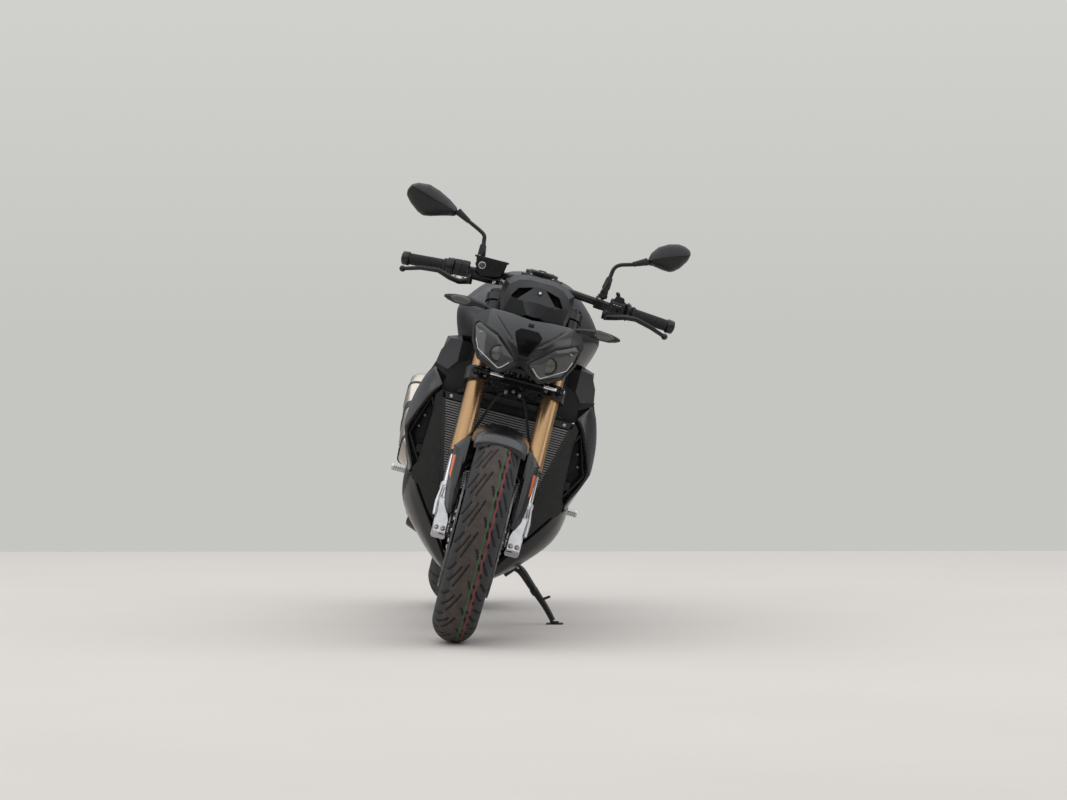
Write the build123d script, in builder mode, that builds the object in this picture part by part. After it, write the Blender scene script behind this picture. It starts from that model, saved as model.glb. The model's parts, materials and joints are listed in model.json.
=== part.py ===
from build123d import *
import os
from math import cos, degrees, radians, sin, sqrt

os.makedirs("parts", exist_ok=True)

# A standard (naked) road motorcycle, in millimetres and degrees. Every piece is modelled with the machine
# upright: +X is the rider's left, -Y is ahead, +Z is up, and the origin lies on the ground midway between
# the axles. The last section leans the whole machine onto its side stand.

# Overall layout
wheelbase = 1450.0
layout_wheelbase = 1450.0
rake = 24.2
trail = 96.0
parking_lean = 14.6
handlebar_half = 397.0
plate_rear = 1065.0

# Fits and clearances
fit = 0.1
seat_gap = 0.3
disc_clearance = 5.1

# Wheels and tyres
front_radius = 300.0
front_half_width = 61.0
front_crown_drop = 51.0
front_rim_half = 50.0
rear_radius = 320.0
rear_half_width = 95.0
rear_crown_drop = 77.4
rear_rim_half = 82.0
bead_seat_radius = 218.0
flange_radius = 229.0
flange_thickness = 5.5
axle_radius = 12.5
front_axle_bore = 9.0

# Brakes
front_disc_radius = 160.0
front_disc_inset = 37.0
disc_inner = 40.0
rear_disc_radius = 110.0
rear_disc_offset = -105.0
disc_thickness = 5.0

# Front calipers
caliper_angle = 22.0
caliper_inner = 110.0
caliper_outer = 178.0
caliper_half_length = 55.0
caliper_half_width = 22.0
caliper_corner = 12.0

# Fork and steering
fork_half = 105.0
outer_tube_radius = 26.0
stanchion_radius = 21.5
sleeve_radius = 25.0
outer_tube_bottom = 217.0
lower_clamp_bottom = 444.0
lower_clamp_top = 474.0
upper_clamp_bottom = 688.0
upper_clamp_top = 710.0
fork_top = 722.0
stem_radius = 15.0
clamp_wall = 10.0
boss_inner = fork_half - 21
boss_outer = fork_half + 19
boss_radius = 29.0
sleeve_top = 125.0
stanchion_bottom = 40.0
stanchion_length = 360.0
fork_cap = 6.0
damper_radius = 8.0
damper_rod_radius = 4.5
damper_eye_radius = 9.0
brake_hose_radius = 4.0
hose_hole = (-8.0, -12.0)
hose_hole_gap = 1.5
splitter_height = 22.0
head_tube_radius = 34.0
bar_radius = 11.0
grip_radius = 16.5
bar_height = 792.0

# Chain drive
chain_offset = 109.0
front_sprocket_y = 20.0
front_sprocket_z = 395.0
chain_width = 16.0
chain_half_height = 7.0
front_sprocket_radius = 41.0
rear_sprocket_radius = 114.0
sprocket_thickness = 7.0

# Swingarm and frame
pivot_y = 130.0
pivot_z = 400.0
arm_inner = 122.0
arm_outer = 158.0
plate_inner = 122.0
plate_outer = 158.0
pivot_tube_radius = 25.0
shock_pin_radius = 12.0

# Side stand
stand_pivot = (132.0, -40.0, 210.0)
stand_reach = 292.0
stand_foot_y = -84.0
stand_leg_radius = 10.0
foot_length = 34.0
foot_width = 52.0
foot_thickness = 7.0
stand_boss_radius = 19.0
stand_boss_half = 10.0

# Wheels
spoke_half_width = 11.0
spoke_count = 5
hub_end_gap = 0.5
carrier_radius = 62.0

# Front mudguard
fender_gap = 13.0
fender_thickness = 3.0
fender_front_angle = -38.0
fender_rear_angle = 52.0
fender_half = 72.0
fender_drop = 46.0
guard_ahead = -36.0
guard_thickness = 5.0

# Headlight and cowl
mask_rear = -572.0
mask_front = -688.0
stay_inner = 60.0
stay_thickness = 5.0

# Radiator, shrouds and belly pan: the radiator's lean is its front face's place at the top and the bottom
radiator_lean = (-470.0, -400.0)
radiator_top = 655.0
radiator_bottom = 368.0
radiator_thickness = 32.0
radiator_half_top = 190.0
radiator_half_bottom = 124.0
shroud_shell = 6.0
pan_shell = 5.0

# Airbox
airbox_half = 104.0
throttle_radius = 22.0
cylinder_top = 640.0

# Rear mudguard and foot controls
hugger_gap = 14.0
hugger_side_gap = 1.0
hugger_drop = 72.0
hugger_thickness = 3.0
hanger_outer = 112.0
hanger_thickness = 12.0
peg_y = 118.0
peg_z = 392.0
peg_reach = 282.0
peg_radius = 11.0

# Derived places
front_axle_y = -wheelbase / 2
rear_axle_y = wheelbase / 2
front_centre = (0, front_axle_y, front_radius)
rear_centre = (0, rear_axle_y, rear_radius)
steer_sine = sin(radians(rake))
steer_cosine = cos(radians(rake))
front_disc_offset = fork_half - front_disc_inset
front_hub_half = front_disc_offset - disc_thickness / 2
front_sleeve_half = fork_half - sleeve_radius - hub_end_gap
rear_sleeve_half = arm_inner - seat_gap
carrier_face = chain_offset - sprocket_thickness / 2
rear_disc_face = rear_disc_offset + disc_thickness / 2
fender_inner = front_radius + fender_gap
hugger_inner = rear_radius + hugger_gap
hugger_half = rear_half_width + hugger_side_gap
shroud_inner = radiator_half_top + seat_gap
# Distance of the steering axis behind the fork legs, which pass through the front axle.
fork_offset = front_radius * steer_sine - trail * steer_cosine
front_crown_radius = (front_half_width**2 + front_crown_drop**2) / (2 * front_crown_drop)
rear_crown_radius = (rear_half_width**2 + rear_crown_drop**2) / (2 * rear_crown_drop)


def along(y):
    """A lengthwise place on the chassis, laid out at the nominal wheelbase."""
    return y * wheelbase / layout_wheelbase


def steered(y):
    """A lengthwise place on the steered front end, which follows the front axle."""
    return front_axle_y + y + layout_wheelbase / 2


def trailed(y):
    """A lengthwise place at the back of the swingarm, which follows the rear axle."""
    return rear_axle_y + y - layout_wheelbase / 2


def as_placed(y):
    """A lengthwise place that is already where it should be."""
    return y


# Fork plane: its origin is the front axle, its local Z runs up the fork and its local Y points rearwards.
fork_plane = Plane(
    origin=front_centre,
    x_dir=(1, 0, 0),
    z_dir=(0, steer_sine, steer_cosine),
)
axis_point = fork_plane.from_local_coords(Vector(0, fork_offset, 0))
steering_axis = Axis(axis_point, (0, steer_sine, steer_cosine))


def on_fork(x, behind, up):
    """A point given in the fork plane, in the upright frame."""
    return fork_plane.from_local_coords(Vector(x, behind, up))


def side_plane(x):
    """Sketches here are drawn in (y, z) and grow towards +X."""
    return Plane(origin=(x, 0, 0), x_dir=(0, 1, 0), z_dir=(1, 0, 0))


def cross_plane(y):
    """Sketches here are drawn in (x, z) and grow towards the front."""
    return Plane(origin=(0, y, 0), x_dir=(1, 0, 0), z_dir=(0, -1, 0))


def wheel_section(centre, angle=0.0):
    """The half-plane through an axle, drawn in (lateral, radial), turned rearwards from the top by angle."""
    return Plane(
        origin=centre,
        x_dir=(1, 0, 0),
        z_dir=(0, -cos(radians(angle)), sin(radians(angle))),
    )


def wheel_axis(centre):
    return Axis(centre, (1, 0, 0))


def slab(points, near, far, station=along):
    """A flat plate with its outline given in (y, z), from x = near to x = far."""
    outline = [(station(y), z) for y, z in points]
    with BuildPart() as plate:
        with BuildSketch(side_plane(near)):
            with BuildLine():
                Polyline(*outline, close=True)
            make_face()
        extrude(amount=far - near)
    return plate.part


def skin(stations, station=along):
    """A loft through outlines in (x, z), each at its own lengthwise station."""
    with BuildPart() as body:
        for y, outline in stations:
            with BuildSketch(cross_plane(station(y))):
                with BuildLine():
                    Polyline(*outline, close=True)
                make_face()
        loft(ruled=True)
    return body.part


def mirrored(outline):
    """Closes a half outline, listed from the top centre down, with its own reflection."""
    left = [(-x, z) for x, z in reversed(outline) if x > 0]
    return list(outline) + left


def spar(stations, station=along):
    """A box-section beam: each station is (y, x centre, z centre, width, height)."""
    sections = []
    for y, x, z, width, height in stations:
        near, far = x - width / 2, x + width / 2
        low, high = z - height / 2, z + height / 2
        sections.append((y, [(near, low), (far, low), (far, high), (near, high)]))
    return skin(sections, station=station)


def rod(points, radius, bend=0.0):
    """A round bar along straight runs joined by arcs."""
    with BuildPart() as bar:
        with BuildLine() as path:
            if bend:
                FilletPolyline(*points, radius=bend)
            else:
                Polyline(*points)
        with BuildSketch(Plane(origin=path.line @ 0, z_dir=path.line % 0)):
            Circle(radius)
        sweep()
    return bar.part


def cross_rod(y, z, radius, near, far):
    """A round bar across the machine."""
    with BuildPart() as bar:
        with BuildSketch(side_plane(near)):
            with Locations((y, z)):
                Circle(radius)
        extrude(amount=far - near)
    return bar.part


def tyre(centre, radius, half_width, crown_drop, rim_half):
    """A tyre from its crown arc, its sidewalls and the beads between the rim flanges."""
    shoulder = radius - crown_drop
    bead = rim_half - flange_thickness
    toe = flange_radius + seat_gap
    with BuildPart() as body:
        with BuildSketch(wheel_section(centre)):
            with BuildLine():
                ThreePointArc((-half_width, shoulder), (0, radius), (half_width, shoulder))
                ThreePointArc(
                    (half_width, shoulder),
                    (half_width - 2.5, (shoulder + toe) / 2 - 3),
                    (rim_half + 2, toe),
                )
                Polyline(
                    (rim_half + 2, toe),
                    (bead, toe),
                    (bead, bead_seat_radius),
                    (-bead, bead_seat_radius),
                    (-bead, toe),
                    (-rim_half - 2, toe),
                )
                ThreePointArc(
                    (-rim_half - 2, toe),
                    (-half_width + 2.5, (shoulder + toe) / 2 - 3),
                    (-half_width, shoulder),
                )
            make_face()
        revolve(axis=wheel_axis(centre))
    return body.part


def cast_rim(centre, rim_half, hub_outline):
    """A cast wheel: rim barrel, hub turned from its outline, and five forked spokes."""
    bead = rim_half - flange_thickness
    well = bead_seat_radius - 12
    with BuildPart() as body:
        with BuildSketch(wheel_section(centre)):
            Polygon(
                (-rim_half, flange_radius),
                (-bead, flange_radius),
                (-bead, bead_seat_radius),
                (bead, bead_seat_radius),
                (bead, flange_radius),
                (rim_half, flange_radius),
                (rim_half, well + 7),
                (rim_half - 12, well),
                (-rim_half + 12, well),
                (-rim_half, well + 7),
                align=None,
            )
            Polygon(*hub_outline, align=None)
        revolve(axis=wheel_axis(centre))
        wheel_plane = Plane(origin=centre, x_dir=(0, 1, 0), z_dir=(1, 0, 0))
        with BuildSketch(wheel_plane.offset(-spoke_half_width)):
            with PolarLocations(0, spoke_count):
                Polygon(
                    (26, -15),
                    (95, -15),
                    (well + 3, -62),
                    (well + 3, -38),
                    (122, 0),
                    (well + 3, 38),
                    (well + 3, 62),
                    (95, 15),
                    (26, 15),
                    align=None,
                )
        extrude(amount=2 * spoke_half_width)
        with BuildSketch(wheel_plane.offset(-200)):
            Circle(axle_radius + fit)
        extrude(amount=400, mode=Mode.SUBTRACT)
    return body.part


def drilled_ring(centre, offset, outer, inner, thickness, windows, window_radius, window_place):
    """A flat ring on the wheel's axis, lightened by a circle of round windows."""
    ring_plane = Plane(origin=centre, x_dir=(0, 1, 0), z_dir=(1, 0, 0)).offset(offset - thickness / 2)
    with BuildPart() as ring:
        with BuildSketch(ring_plane):
            Circle(outer)
            Circle(inner, mode=Mode.SUBTRACT)
            with PolarLocations(window_place, windows):
                Circle(window_radius, mode=Mode.SUBTRACT)
        extrude(amount=thickness)
    return ring.part


# ---- Front wheel ----
with BuildPart() as front_tyre:
    add(tyre(front_centre, front_radius, front_half_width, front_crown_drop, front_rim_half))

front_hub = [
    (-front_sleeve_half, 5),
    (-front_sleeve_half, 20),
    (-front_hub_half, 20),
    (-front_hub_half, 52),
    (-front_hub_half + 10, 52),
    (-front_hub_half + 16, 34),
    (front_hub_half - 16, 34),
    (front_hub_half - 10, 52),
    (front_hub_half, 52),
    (front_hub_half, 20),
    (front_sleeve_half, 20),
    (front_sleeve_half, 5),
]
with BuildPart() as front_rim:
    add(cast_rim(front_centre, front_rim_half, front_hub))

with BuildPart() as front_brake_discs:
    for side in (-1, 1):
        add(
            drilled_ring(
                front_centre,
                side * front_disc_offset,
                front_disc_radius,
                disc_inner,
                disc_thickness,
                10,
                14,
                88,
            )
        )

# ---- Rear wheel ----
with BuildPart() as rear_tyre:
    add(tyre(rear_centre, rear_radius, rear_half_width, rear_crown_drop, rear_rim_half))

rear_hub = [
    (-rear_sleeve_half, 5),
    (-rear_sleeve_half, 20),
    (rear_disc_face, 20),
    (rear_disc_face, 52),
    (rear_disc_face + 10, 52),
    (-60, 36),
    (40, 36),
    (60, carrier_radius),
    (carrier_face, carrier_radius),
    (carrier_face, 24),
    (rear_sleeve_half, 24),
    (rear_sleeve_half, 5),
]
with BuildPart() as rear_rim:
    add(cast_rim(rear_centre, rear_rim_half, rear_hub))

with BuildPart() as rear_brake_disc:
    add(
        drilled_ring(
            rear_centre,
            rear_disc_offset,
            rear_disc_radius,
            disc_inner,
            disc_thickness,
            8,
            11,
            68,
        )
    )

with BuildPart() as rear_sprocket:
    tooth_tip = rear_sprocket_radius - chain_half_height - 0.5
    add(
        drilled_ring(
            rear_centre,
            chain_offset,
            tooth_tip,
            carrier_radius - 20,
            sprocket_thickness,
            6,
            13,
            78,
        )
    )

# ---- Fork, axle and brakes ----
with BuildPart() as front_axle:
    with BuildSketch(side_plane(-boss_outer)):
        with Locations((front_axle_y, front_radius)):
            Circle(axle_radius)
            Circle(front_axle_bore, mode=Mode.SUBTRACT)
    extrude(amount=2 * boss_outer)



def caliper_plane(centre, angle):
    """Local Z is the radius through the caliper, and local X runs across the machine."""
    return Plane(origin=centre, x_dir=(1, 0, 0), z_dir=(0, cos(radians(angle)), sin(radians(angle))))


with BuildPart() as fork_bottoms:
    with BuildSketch(side_plane(boss_inner)):
        with Locations((front_axle_y, front_radius)):
            Circle(boss_radius)
    extrude(amount=boss_outer - boss_inner)
    with BuildSketch(fork_plane.offset(-40)):
        with Locations((fork_half - 1, -12)):
            Rectangle(boss_outer - boss_inner, 36)
    extrude(amount=60)
    with BuildSketch(fork_plane):
        with Locations((fork_half, 0)):
            Circle(sleeve_radius)
    extrude(amount=sleeve_top)
    leg_turn = 90 - rake - caliper_angle
    web = [
        (0, -18),
        (caliper_inner - seat_gap, -42),
        (caliper_inner - seat_gap, caliper_half_length + seat_gap),
        (caliper_inner + 25, caliper_half_length + seat_gap),
        (sleeve_top * cos(radians(leg_turn)) + 12, sleeve_top * sin(radians(leg_turn)) + 6),
        (0, 18),
    ]
    turned = []
    for reach, rise in web:
        ray = radians(caliper_angle)
        turned.append(
            (
                front_axle_y + reach * cos(ray) - rise * sin(ray),
                front_radius + reach * sin(ray) + rise * cos(ray),
            )
        )
    with BuildSketch(side_plane(fork_half - sleeve_radius)):
        with BuildLine():
            Polyline(*turned, close=True)
        make_face()
    extrude(amount=13)
    with BuildSketch(fork_plane.offset(stanchion_bottom)):
        with Locations((fork_half, 0)):
            Circle(stanchion_radius + fit)
    extrude(amount=sleeve_top, mode=Mode.SUBTRACT)
    with BuildSketch(side_plane(boss_inner - 20)):
        with Locations((front_axle_y, front_radius)):
            Circle(axle_radius + fit)
    extrude(amount=90, mode=Mode.SUBTRACT)
    mirror(about=Plane.YZ)

with BuildPart() as fork_stanchions:
    with BuildSketch(fork_plane.offset(stanchion_bottom + seat_gap)):
        with Locations((fork_half, 0), (-fork_half, 0)):
            Circle(stanchion_radius)
    extrude(amount=stanchion_length)

with BuildPart() as fork_tubes:
    with BuildSketch(fork_plane.offset(outer_tube_bottom)):
        with Locations((fork_half, 0), (-fork_half, 0)):
            Circle(outer_tube_radius)
            Circle(stanchion_radius + fit, mode=Mode.SUBTRACT)
    extrude(amount=fork_top - outer_tube_bottom - fork_cap)
    with BuildSketch(fork_plane.offset(fork_top - fork_cap)):
        with Locations((fork_half, 0), (-fork_half, 0)):
            Circle(outer_tube_radius)
    extrude(amount=fork_cap)

with BuildPart() as front_calipers:
    with BuildSketch(caliper_plane(front_centre, caliper_angle).offset(caliper_inner)):
        with Locations((front_disc_offset, 0)):
            Rectangle(2 * caliper_half_width, 2 * caliper_half_length)
    extrude(amount=caliper_outer - caliper_inner)
    fillet(edges().filter_by(Axis.X), radius=caliper_corner)
    with BuildSketch(caliper_plane(front_centre, caliper_angle).offset(caliper_inner - 5)):
        with Locations((front_disc_offset, 0)):
            Rectangle(disc_thickness + 2 * disc_clearance, 4 * caliper_half_length)
    extrude(amount=front_disc_radius + disc_clearance - caliper_inner + 5, mode=Mode.SUBTRACT)
    mirror(about=Plane.YZ)

with BuildPart() as triple_clamps:
    for low, high, radius in (
        (lower_clamp_bottom, lower_clamp_top, outer_tube_radius + clamp_wall),
        (upper_clamp_bottom, upper_clamp_top, outer_tube_radius + clamp_wall - 2),
    ):
        with BuildSketch(fork_plane.offset(low)):
            with Locations((fork_half, 0), (-fork_half, 0)):
                Circle(radius)
            with Locations((0, fork_offset)):
                Circle(stem_radius + 16)
            make_hull()
            with Locations((fork_half, 0), (-fork_half, 0)):
                Circle(outer_tube_radius + fit, mode=Mode.SUBTRACT)
        extrude(amount=high - low)
    with BuildSketch(fork_plane.offset(lower_clamp_bottom)):
        with Locations((0, fork_offset)):
            Circle(stem_radius)
    extrude(amount=upper_clamp_top - lower_clamp_bottom + 10)
    with BuildSketch(fork_plane.offset(upper_clamp_top)):
        with Locations((42, fork_offset - 4), (-42, fork_offset - 4)):
            Circle(17)
    extrude(amount=bar_height - upper_clamp_top - bar_radius - seat_gap)
    with BuildSketch(fork_plane.offset(lower_clamp_bottom - 1)):
        with Locations(hose_hole):
            Circle(brake_hose_radius + hose_hole_gap)
    extrude(amount=lower_clamp_top - lower_clamp_bottom + 2, mode=Mode.SUBTRACT)


with BuildPart() as front_fender:
    with BuildSketch(wheel_section(front_centre, fender_front_angle)):
        with BuildLine():
            edge = fender_inner - fender_drop
            ThreePointArc((-fender_half, edge), (0, fender_inner), (fender_half, edge))
            Line((fender_half, edge), (fender_half + fender_thickness, edge))
            ThreePointArc(
                (fender_half + fender_thickness, edge),
                (0, fender_inner + fender_thickness),
                (-fender_half - fender_thickness, edge),
            )
            Line((-fender_half - fender_thickness, edge), (-fender_half, edge))
        make_face()
    revolve(axis=Axis(front_centre, (-1, 0, 0)), revolution_arc=fender_rear_angle - fender_front_angle)
    for side in (-1, 1):
        with BuildSketch(fork_plane.offset(100)):
            with Locations((side * (fork_half - 6), guard_ahead)):
                Rectangle(42, guard_thickness)
        extrude(amount=165)
        with BuildSketch(fork_plane.offset(180)):
            with Locations((side * (fender_half + 15), guard_ahead)):
                Rectangle(32, guard_thickness)
        extrude(amount=85)
        with BuildSketch(fork_plane.offset(104)):
            with Locations((side * fork_half, (guard_ahead - sleeve_radius - seat_gap) / 2)):
                Rectangle(16, -guard_ahead - sleeve_radius - seat_gap)
        extrude(amount=16)

# ---- Handlebar and controls ----
bar_points = [
    on_fork(0, fork_offset - 4, bar_height),
    on_fork(95, fork_offset - 4, bar_height),
    on_fork(200, fork_offset + 12, bar_height - 2),
    on_fork(262, fork_offset + 22, bar_height - 1),
]
grip_turn = Vector(1, 0.17, -0.075).normalized()
bar_end = bar_points[3] + grip_turn * ((handlebar_half - 262) / grip_turn.X)
bar_path = bar_points + [bar_end]


def both_ways(points):
    """Continues a path from the right end to the left end through the middle of the machine."""
    right = [Vector(-p.X, p.Y, p.Z) for p in reversed(points[1:])]
    return right + points[1:]


with BuildPart() as handlebar:
    add(rod(both_ways(bar_path), bar_radius, bend=25))

with BuildPart() as grips:
    grip_start = bar_points[3] + grip_turn * 8
    grip_plane = Plane(origin=grip_start, z_dir=grip_turn)
    with BuildSketch(grip_plane):
        Circle(grip_radius)
        Circle(bar_radius + fit, mode=Mode.SUBTRACT)
    extrude(amount=(bar_end - grip_start).length - 4)
    mirror(about=Plane.YZ)

switch_plane_origin = bar_points[2] + (bar_points[3] - bar_points[2]) * 0.18
switch_direction = (bar_points[3] - bar_points[2]).normalized()
with BuildPart() as switchgear:
    with BuildSketch(Plane(origin=switch_plane_origin, x_dir=(0, 0, 1), z_dir=switch_direction)):
        with Locations((2, 0)):
            RectangleRounded(50, 40, 8)
        Circle(bar_radius + fit, mode=Mode.SUBTRACT)
    extrude(amount=44)
    mirror(about=Plane.YZ)

lever_root_right = [(-196, -402, 968), (-287, -424, 974), (-389, -410, 954)]
lever_root_left = [(196, -402, 968), (284, -424, 978), (378, -410, 955)]


def placed(points):
    return [(x, steered(y), z) for x, y, z in points]


def steered_box(x0, x1, y0, y1, z0, z1):
    with BuildPart() as block:
        with BuildSketch(Plane.XY.offset(z0)):
            with Locations(((x0 + x1) / 2, (steered(y0) + steered(y1)) / 2)):
                Rectangle(abs(x1 - x0), abs(y1 - y0))
        extrude(amount=z1 - z0)
    return block.part


bar_mid = bar_points[1] + (bar_points[2] - bar_points[1]) * 0.72
clamp_direction = (bar_points[2] - bar_points[1]).normalized()


def bar_clamp(side):
    """A split clamp round the handlebar, which carries a lever."""
    centre = Vector(side * bar_mid.X, bar_mid.Y, bar_mid.Z)
    direction = Vector(side * clamp_direction.X, clamp_direction.Y, clamp_direction.Z)
    with BuildPart() as clamp:
        with BuildSketch(Plane(origin=centre, z_dir=direction)):
            Circle(bar_radius + 6)
            Circle(bar_radius + fit, mode=Mode.SUBTRACT)
        extrude(amount=16)
    return clamp.part


with BuildPart() as hand_levers:
    add(bar_clamp(-1))
    add(steered_box(-197, -112, -420, -390, 976, 1008))
    add(steered_box(-195, -102, -422, -388, 1008, 1046))
    add(steered_box(-180, -158, -400, -376, 985, 1006))
    add(rod(placed([(-190, -404, 984), *lever_root_right]), 6, bend=8))
    add(bar_clamp(1))
    add(steered_box(150, 205, -416, -390, 962, 990))
    add(steered_box(158, 180, -400, -376, 970, 1000))
    add(rod(placed([(190, -404, 976), *lever_root_left]), 6, bend=8))

mirror_base = bar_mid + clamp_direction * 8 + Vector(0, 0, bar_radius + 6 + 2 * seat_gap)
mirror_right_stalk = [
    (-mirror_base.X, mirror_base.Y, mirror_base.Z),
    *placed([(-184, -356, 1104), (-240, -345, 1134), (-282, -337, 1157)]),
]
mirror_left_stalk = [
    (mirror_base.X, mirror_base.Y, mirror_base.Z),
    *placed([(188, -356, 1107), (240, -345, 1133), (284, -337, 1157)]),
]
right_leaf = [
    (-273, 1158),
    (-330, 1192),
    (-385, 1208),
    (-424, 1192),
    (-427, 1160),
    (-370, 1118),
    (-300, 1134),
]
left_leaf = [
    (276, 1150),
    (292, 1194),
    (340, 1220),
    (385, 1213),
    (386, 1180),
    (345, 1137),
    (298, 1144),
]


def mirror_head(outline):
    with BuildPart() as head:
        with BuildSketch(cross_plane(steered(-322))):
            with BuildLine():
                Spline(*outline, periodic=True)
            make_face()
        extrude(amount=22)
    return head.part


with BuildPart() as mirrors:
    add(rod(mirror_right_stalk, 6, bend=18))
    add(mirror_head(right_leaf))
    add(rod(mirror_left_stalk, 6, bend=18))
    add(mirror_head(left_leaf))

# ---- Headlight, cowl and indicators ----
mask_half = [(0, 902), (122, 917), (160, 868), (130, 782), (58, 744), (14, 768), (0, 768)]
mask_front_half = [(0, 845), (52, 852), (72, 838), (62, 800), (36, 775), (8, 782), (0, 782)]


def scaled(outline, factor, centre):
    return [(centre[0] + (x - centre[0]) * factor, centre[1] + (z - centre[1]) * factor) for x, z in outline]


with BuildPart() as headlight:
    add(skin([(mask_rear, mirrored(mask_half)), (mask_front, mirrored(mask_front_half))], station=steered))
    clamp_top = [on_fork(0, behind, lower_clamp_top + seat_gap) for behind in (-32, -6)]
    stay = [
        (clamp_top[0].Y - front_axle_y - layout_wheelbase / 2, clamp_top[0].Z),
        (clamp_top[1].Y - front_axle_y - layout_wheelbase / 2, clamp_top[1].Z),
        (-545, 830),
        (mask_rear - 2, 850),
        (mask_rear - 2, 790),
    ]
    for side in (-1, 1):
        add(slab(stay, side * stay_inner, side * (stay_inner + stay_thickness), station=steered))

cowl_half = [(0, 1022), (70, 1022), (97, 997), (102, 952), (84, 921), (0, 921)]
with BuildPart() as instrument_cowl:
    add(
        skin(
            [
                (-480, mirrored(scaled(cowl_half, 0.86, (0, 985)))),
                (-525, mirrored(cowl_half)),
                (-606, mirrored(scaled(cowl_half, 0.62, (0, 950)))),
            ],
            station=steered,
        )
    )
    cowl_stay = [(-500, 935), (-455, 958), (-455, 966), (-500, 975)]
    for side in (-1, 1):
        add(slab(cowl_stay, side * 36, side * 42, station=steered))
    add(triple_clamps.part, mode=Mode.SUBTRACT)

with BuildPart() as front_indicators:
    for side in (-1, 1):
        stalk = placed([(side * 112, -564.8, 902), (side * 150, -556, 912), (side * 190, -540, 914)])
        add(rod(stalk, 7, bend=10))
        with BuildSketch(Plane(origin=stalk[2], x_dir=(0, 1, 0), z_dir=(side, 0, 0))):
            Ellipse(14, 10)
        extrude(amount=62, taper=7)

# ---- Steering damper and brake hoses ----
clamp_middle = (lower_clamp_bottom + lower_clamp_top) / 2
damper_behind = -outer_tube_radius - clamp_wall - damper_eye_radius + 2
with BuildPart() as steering_damper:
    for near, far, radius in (
        (-fork_half - 12, fork_half + 24, damper_rod_radius),
        (-36, 74, damper_radius),
        (-fork_half - 18, -fork_half + 8, damper_eye_radius),
        (fork_half + 10, fork_half + 32, damper_eye_radius),
    ):
        ends = [on_fork(near, damper_behind, clamp_middle), on_fork(far, damper_behind, clamp_middle)]
        add(rod(ends, radius))
    lug = on_fork(fork_half + 21, damper_behind + 12, clamp_middle)
    add(rod([on_fork(fork_half + 21, damper_behind, clamp_middle), lug], damper_eye_radius - 2))
    add(triple_clamps.part, mode=Mode.SUBTRACT)

splitter_top = lower_clamp_bottom - seat_gap
banjo_reach = (caliper_inner + caliper_outer) / 2 + 6
banjo_rise = caliper_half_length + seat_gap
caliper_turn = radians(90 - rake - caliper_angle)
banjo_behind = banjo_reach * sin(caliper_turn) - banjo_rise * cos(caliper_turn)
banjo_up = banjo_reach * cos(caliper_turn) + banjo_rise * sin(caliper_turn)
banjo_x = front_disc_offset + caliper_half_width - 6
with BuildPart() as brake_hoses:
    with BuildSketch(fork_plane.offset(splitter_top - splitter_height)):
        with Locations((0, -5)):
            Rectangle(30, 30)
    extrude(amount=splitter_height)
    for side in (-1, 1):
        drop = [
            (14, 0, splitter_top - 8),
            (32, -2, splitter_top - 12),
            (50, 8, 392),
            (66, 26, 348),
            (fork_half - 18, 44, 300),
            (fork_half - 13, 50, 244),
            (fork_half - 14, 58, 196),
            (banjo_x, banjo_behind, banjo_up),
        ]
        add(rod([on_fork(side * x, behind, up) for x, behind, up in drop], brake_hose_radius, bend=16))
    upper_run = [(-111.7, -405, 990), (-96, -438, 988), (-103, -492, 956), (-98, -502, 890), (-50, -514, 812)]
    master_hose = [
        *placed(upper_run),
        on_fork(-16, -18, 528),
        on_fork(*hose_hole, 494),
        on_fork(*hose_hole, splitter_top - 2),
    ]
    add(rod(master_hose, brake_hose_radius, bend=9))
    add(front_calipers.part, mode=Mode.SUBTRACT)
    add(hand_levers.part, mode=Mode.SUBTRACT)

# ---- Parking: the lean, and the lift that sets both tyres on the ground ----
front_lift = front_crown_radius * (1 - cos(radians(parking_lean)))
rear_lift = rear_crown_radius * (1 - cos(radians(parking_lean)))
nose_pitch = degrees((rear_lift - front_lift) / wheelbase)
leaned = Pos(0, 0, (front_lift + rear_lift) / 2) * Rot(nose_pitch, 0, 0) * Rot(0, parking_lean, 0)
ground = leaned.inverse()


def from_ground(x, y, z):
    """A place given on the parking ground, in the upright frame."""
    return (ground * Location((x, y, z))).position


stand_top = Vector(stand_pivot[0], along(stand_pivot[1]), stand_pivot[2])
stand_foot = from_ground(stand_reach - 6, along(stand_foot_y), foot_thickness + 4)
fold_direction = Vector(0.05, 0.995, 0.08).normalized()
stand_direction = (stand_foot - stand_top).normalized()
stand_axis = stand_direction.cross(fold_direction).normalized()

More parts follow.
